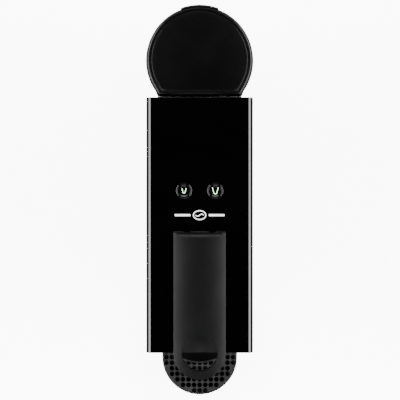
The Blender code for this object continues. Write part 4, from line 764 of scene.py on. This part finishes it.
def make_buttons():
    """Dished caps with a backlit cup outline each, a small cup and a large one."""
    low = BUTTON_LOW.z
    flange = BODY_TOP - WALL - 1.2 * MM
    edge = BUTTON_RADIUS - BUTTON_RIM
    for name, side, size in (("small", -1, 1.0), ("large", 1, 1.36)):
        x = side * BUTTON_X
        wide = BUTTON_RADIUS + 1.2 * MM
        profile = [(0.0, low), (2.0 * MM, low), (2.0 * MM, flange - 1.6 * MM),
                   (wide, flange - 1.6 * MM), (wide, flange), (BUTTON_RADIUS, flange)]
        profile += arc(edge, BUTTON_HIGH.z - BUTTON_RIM, BUTTON_RIM, 0.0, 90.0, 6)
        for step in range(1, 13):
            share = 1.0 - step / 12
            profile.append((edge * share, BUTTON_HIGH.z - BUTTON_DISH * (1.0 - share * share)))
        cap = new_object(f"cap_{name}", turned(profile, (x, BUTTON_Y), sides=72))
        piece(cap, f"button_{name}", BUTTON_FINISH, f"button_{name}", angle=45.0)

        half, foot, tall = 1.7 * MM * size, 0.85 * MM * size, 3.7 * MM * size
        base_y = -0.5 * tall
        cup = [(-half, base_y + tall)]
        cup += [(foot * cos(angle), base_y + foot * 0.9 * (1.0 + sin(angle))) for angle in
                [radians(195.0 + 15.0 * step) for step in range(11)]]
        cup += [(half, base_y + tall)]
        shape = stroke(cup, 0.45 * MM, lambda p: dish_height(p.x, p.y), 0.05 * MM, bmesh.new())
        bmesh.ops.translate(shape, verts=shape.verts, vec=(x, BUTTON_Y, 0.0))
        icon = new_object(f"cup_mark_{name}", shape)
        piece(icon, f"button_{name}", GLOW)


def make_print():
    """Generic printed mark behind the lever: a bean outline between two short bars."""
    centre_y = PIVOT_Y + 18.0 * MM

    def flat(point):
        return BODY_TOP

    shape = bmesh.new()
    bean = [(4.8 * MM * cos(a), centre_y + 3.4 * MM * sin(a)) for a in
            [2 * pi * step / 40 for step in range(40)]]
    stroke(bean, 0.75 * MM, flat, PRINT_RAISED, shape, closed=True)
    crease = [(3.1 * MM * t, centre_y + 0.85 * MM * sin(pi * t)) for t in
              [-1.0 + 2.0 * step / 16 for step in range(17)]]
    stroke(crease, 0.6 * MM, flat, PRINT_RAISED, shape)
    for side in (-1, 1):
        start, end = side * 7.2 * MM, side * 19.2 * MM
        stroke([(start, centre_y), (end, centre_y)], 1.5 * MM, flat, PRINT_RAISED, shape)
    mark = new_object("bean_mark", shape)
    piece(mark, "machine", PRINT)


# ---------------------------------------------------------------- drip tray
def tray_ring(inset, height, steps=96):
    """Half circle in front with straight sides back to the column, at a height."""
    radius = TRAY_RADIUS - inset
    rear = TRAY_REAR_Y - inset
    points = [Vector((-radius, rear, height))]
    points += [Vector((*point, height)) for point in arc(0.0, TRAY_Y, radius, 180.0, 360.0, steps)]
    points.append(Vector((radius, rear, height)))
    return points


def make_grid():
    """Perforated grid with a rolled rim and rounded webs between its holes."""
    low, high = GRID_LOW.z, GRID_HIGH.z
    roll, sunk = 0.7 * MM, 0.45 * MM
    rings = [tray_ring(0.5 * MM, low), tray_ring(0.0, low + 0.5 * MM), tray_ring(0.0, high - roll)]
    rings += [tray_ring(roll - point[0], high - roll + point[1])
              for point in arc(0.0, 0.0, roll, 20.0, 90.0, 5)]
    rings += [tray_ring(1.5 * MM, high), tray_ring(1.8 * MM, high - sunk),
              tray_ring(6.0 * MM, high - sunk)]
    grid = new_object("grid_pressed", lofted(rings))
    holes = bmesh.new()
    reach = int(GRID_FIELD_RADIUS / GRID_PITCH)
    for row in range(-reach, reach + 1):
        for column in range(-reach, reach + 1):
            x, y = column * GRID_PITCH, row * GRID_PITCH
            if sqrt(x * x + y * y) <= GRID_FIELD_RADIUS:
                rod((x, TRAY_Y + y), GRID_HOLE_RADIUS, low - MM, high + MM, sides=20, shape=holes)
    cut(grid, holes)
    piece(grid, "drip_grid", GRID_FINISH, "drip_grid", 0.22 * MM, 2, 50.0)


def make_carrier():
    """Tray body with a softened foot and a shadow line under its rim, and the drawer's floor."""
    low, high = CARRIER_LOW.z, CARRIER_HIGH.z
    wall = 2.0 * MM
    foot = 2.2 * MM
    rings = [tray_ring(foot, low)]
    rings += [tray_ring(foot - point[0], low + foot + point[1])
              for point in arc(0.0, 0.0, foot, -70.0, 0.0, 6)]
    rings += [tray_ring(0.0, high - 2.2 * MM), tray_ring(0.45 * MM, high - 1.9 * MM),
              tray_ring(0.45 * MM, high - 1.3 * MM), tray_ring(0.0, high - 1.0 * MM),
              tray_ring(0.0, high - 0.3 * MM), tray_ring(0.3 * MM, high), tray_ring(wall, high),
              tray_ring(wall, low + wall)]
    carrier = new_object("carrier_moulded", lofted(rings))
    container_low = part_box("capsule_container")[0].z
    plate_low, plate_high = container_low - 2.7 * MM, container_low - 0.3 * MM
    floor = block((CARRIER_LOW.x, CARRIER_HIGH.x), (TRAY_REAR_Y - MM, CARRIER_HIGH.y),
                  (plate_low, plate_high))
    plate = new_object("carrier_floor", floor)
    piece(plate, "drawer", MATTE, None, 0.4 * MM, 2, 40.0)
    piece(carrier, "drawer", MATTE, "tray_carrier")


def make_drawer_front():
    """Front panel with softened edges and a shallow finger recess across its top."""
    low, high = PANEL_LOW, PANEL_HIGH
    panel = new_object("drawer_panel", block((low.x, high.x), (low.y, high.y), (low.z, high.z)))
    scoop = arc(0.0, high.z + 22.0 * MM, 27.0 * MM, 200.0, 340.0, 36)
    cut(panel, prism(scoop, low.y - MM, low.y + 1.4 * MM, "Y"))
    piece(panel, "drawer", SATIN, "drawer_front", 0.5 * MM, 3, 40.0)


# ---------------------------------------------------------------- stage, light and camera
def seen_directly(tree):
    """1 for rays from the camera, straight or through the clear tank, and 0 for reflections."""
    rays = tree.nodes.new("ShaderNodeLightPath")
    either = tree.nodes.new("ShaderNodeMath")
    either.operation = "MAXIMUM"
    link(tree, rays.outputs["Is Camera Ray"], either.inputs[0])
    link(tree, rays.outputs["Is Transmission Ray"], either.inputs[1])
    return either.outputs["Value"]


def stage_material(name, bright):
    """Pale surface, bright where it is seen directly and quiet in the object's reflections."""
    made, tree, shader = shader_material(name)
    shader.inputs["Base Color"].default_value = (0.8, 0.8, 0.8, 1.0)
    shader.inputs["Roughness"].default_value = 0.9
    shader.inputs["Emission Color"].default_value = (1.0, 1.0, 1.0, 1.0)
    shader.inputs["Emission Strength"].default_value = bright
    quiet = tree.nodes.new("ShaderNodeBsdfDiffuse")
    quiet.inputs["Color"].default_value = (0.2, 0.2, 0.2, 1.0)
    choice = tree.nodes.new("ShaderNodeMixShader")
    link(tree, seen_directly(tree), choice.inputs["Fac"])
    link(tree, quiet.outputs["BSDF"], choice.inputs[1])
    link(tree, shader.outputs["BSDF"], choice.inputs[2])
    link(tree, choice.outputs["Shader"], tree.nodes["Material Output"].inputs["Surface"])
    return made


def make_floor():
    half = 3.0
    floor = new_object("floor", block((-half, half), (-half, half), (-0.01, 0.0)))
    floor.data.materials.append(stage_material("pale_floor", 8.0))


def make_world():
    """Plain surround: white where the camera sees it, dark overhead in reflections."""
    world = bpy.data.worlds.new("studio")
    bpy.context.scene.world = world
    world.use_nodes = True
    tree = world.node_tree
    strength = tree.nodes.new("ShaderNodeMapRange")
    strength.inputs["To Min"].default_value = 0.01
    strength.inputs["To Max"].default_value = 12.0
    link(tree, seen_directly(tree), strength.inputs["Value"])
    background = tree.nodes["Background"]
    background.inputs["Color"].default_value = (1.0, 1.0, 1.0, 1.0)
    link(tree, strength.outputs["Result"], background.inputs["Strength"])


def softbox(name, place_at, aim, width, length, radiance):
    """Rectangular area light of a given radiance, turned towards a point."""
    data = bpy.data.lights.new(name, "AREA")
    data.shape = "RECTANGLE"
    data.size = width
    data.size_y = length
    data.energy = radiance * pi * width * length
    lamp = bpy.data.objects.new(name, data)
    bpy.context.scene.collection.objects.link(lamp)
    lamp.location = place_at
    lamp.rotation_euler = (Vector(aim) - Vector(place_at)).to_track_quat("-Z", "Y").to_euler()
    lamp.visible_camera = False


def make_lights():
    """Wide softboxes at both sides, and weaker strips behind, above and in front."""
    side_height, aim_height = 0.74, 0.19
    for name, side in (("softbox_left", -1), ("softbox_right", 1)):
        softbox(name, (side * 0.75, 0.0, side_height), (0.0, 0.0, side_height), 1.5, 0.7, 15.0)
    softbox("strip_rear", (0.0, 0.62, 1.0), (0.0, 0.0, aim_height), 0.9, 0.24, 4.5)
    softbox("overhead_front", (0.0, -0.62, 1.15), (0.0, -0.1, aim_height), 0.5, 0.4, 1.2)
    softbox("strip_front", (0.0, -0.9, 0.6), (0.0, -0.1, aim_height), 0.9, 0.3, 2.5)


def make_camera():
    """Looks straight down; its distance and lens are fitted to the photo."""
    data = bpy.data.cameras.new("camera")
    data.sensor_width = 36.0
    data.lens = 101.5
    data.clip_start = 0.05
    camera = bpy.data.objects.new("camera", data)
    bpy.context.scene.collection.objects.link(camera)
    camera.location = (0.0003, 0.0134, 1.064)
    bpy.context.scene.camera = camera


make_camera()
make_world()
make_lights()
make_floor()

make_shell()
make_fascia()
make_nose()
make_spout()
make_lever()
make_lid()
make_tank()
make_buttons()
make_print()
make_grid()
make_carrier()
make_drawer_front()

REPLACED = {name for made in bpy.data.objects for name in made.get("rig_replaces", [])}
finish_nodes()
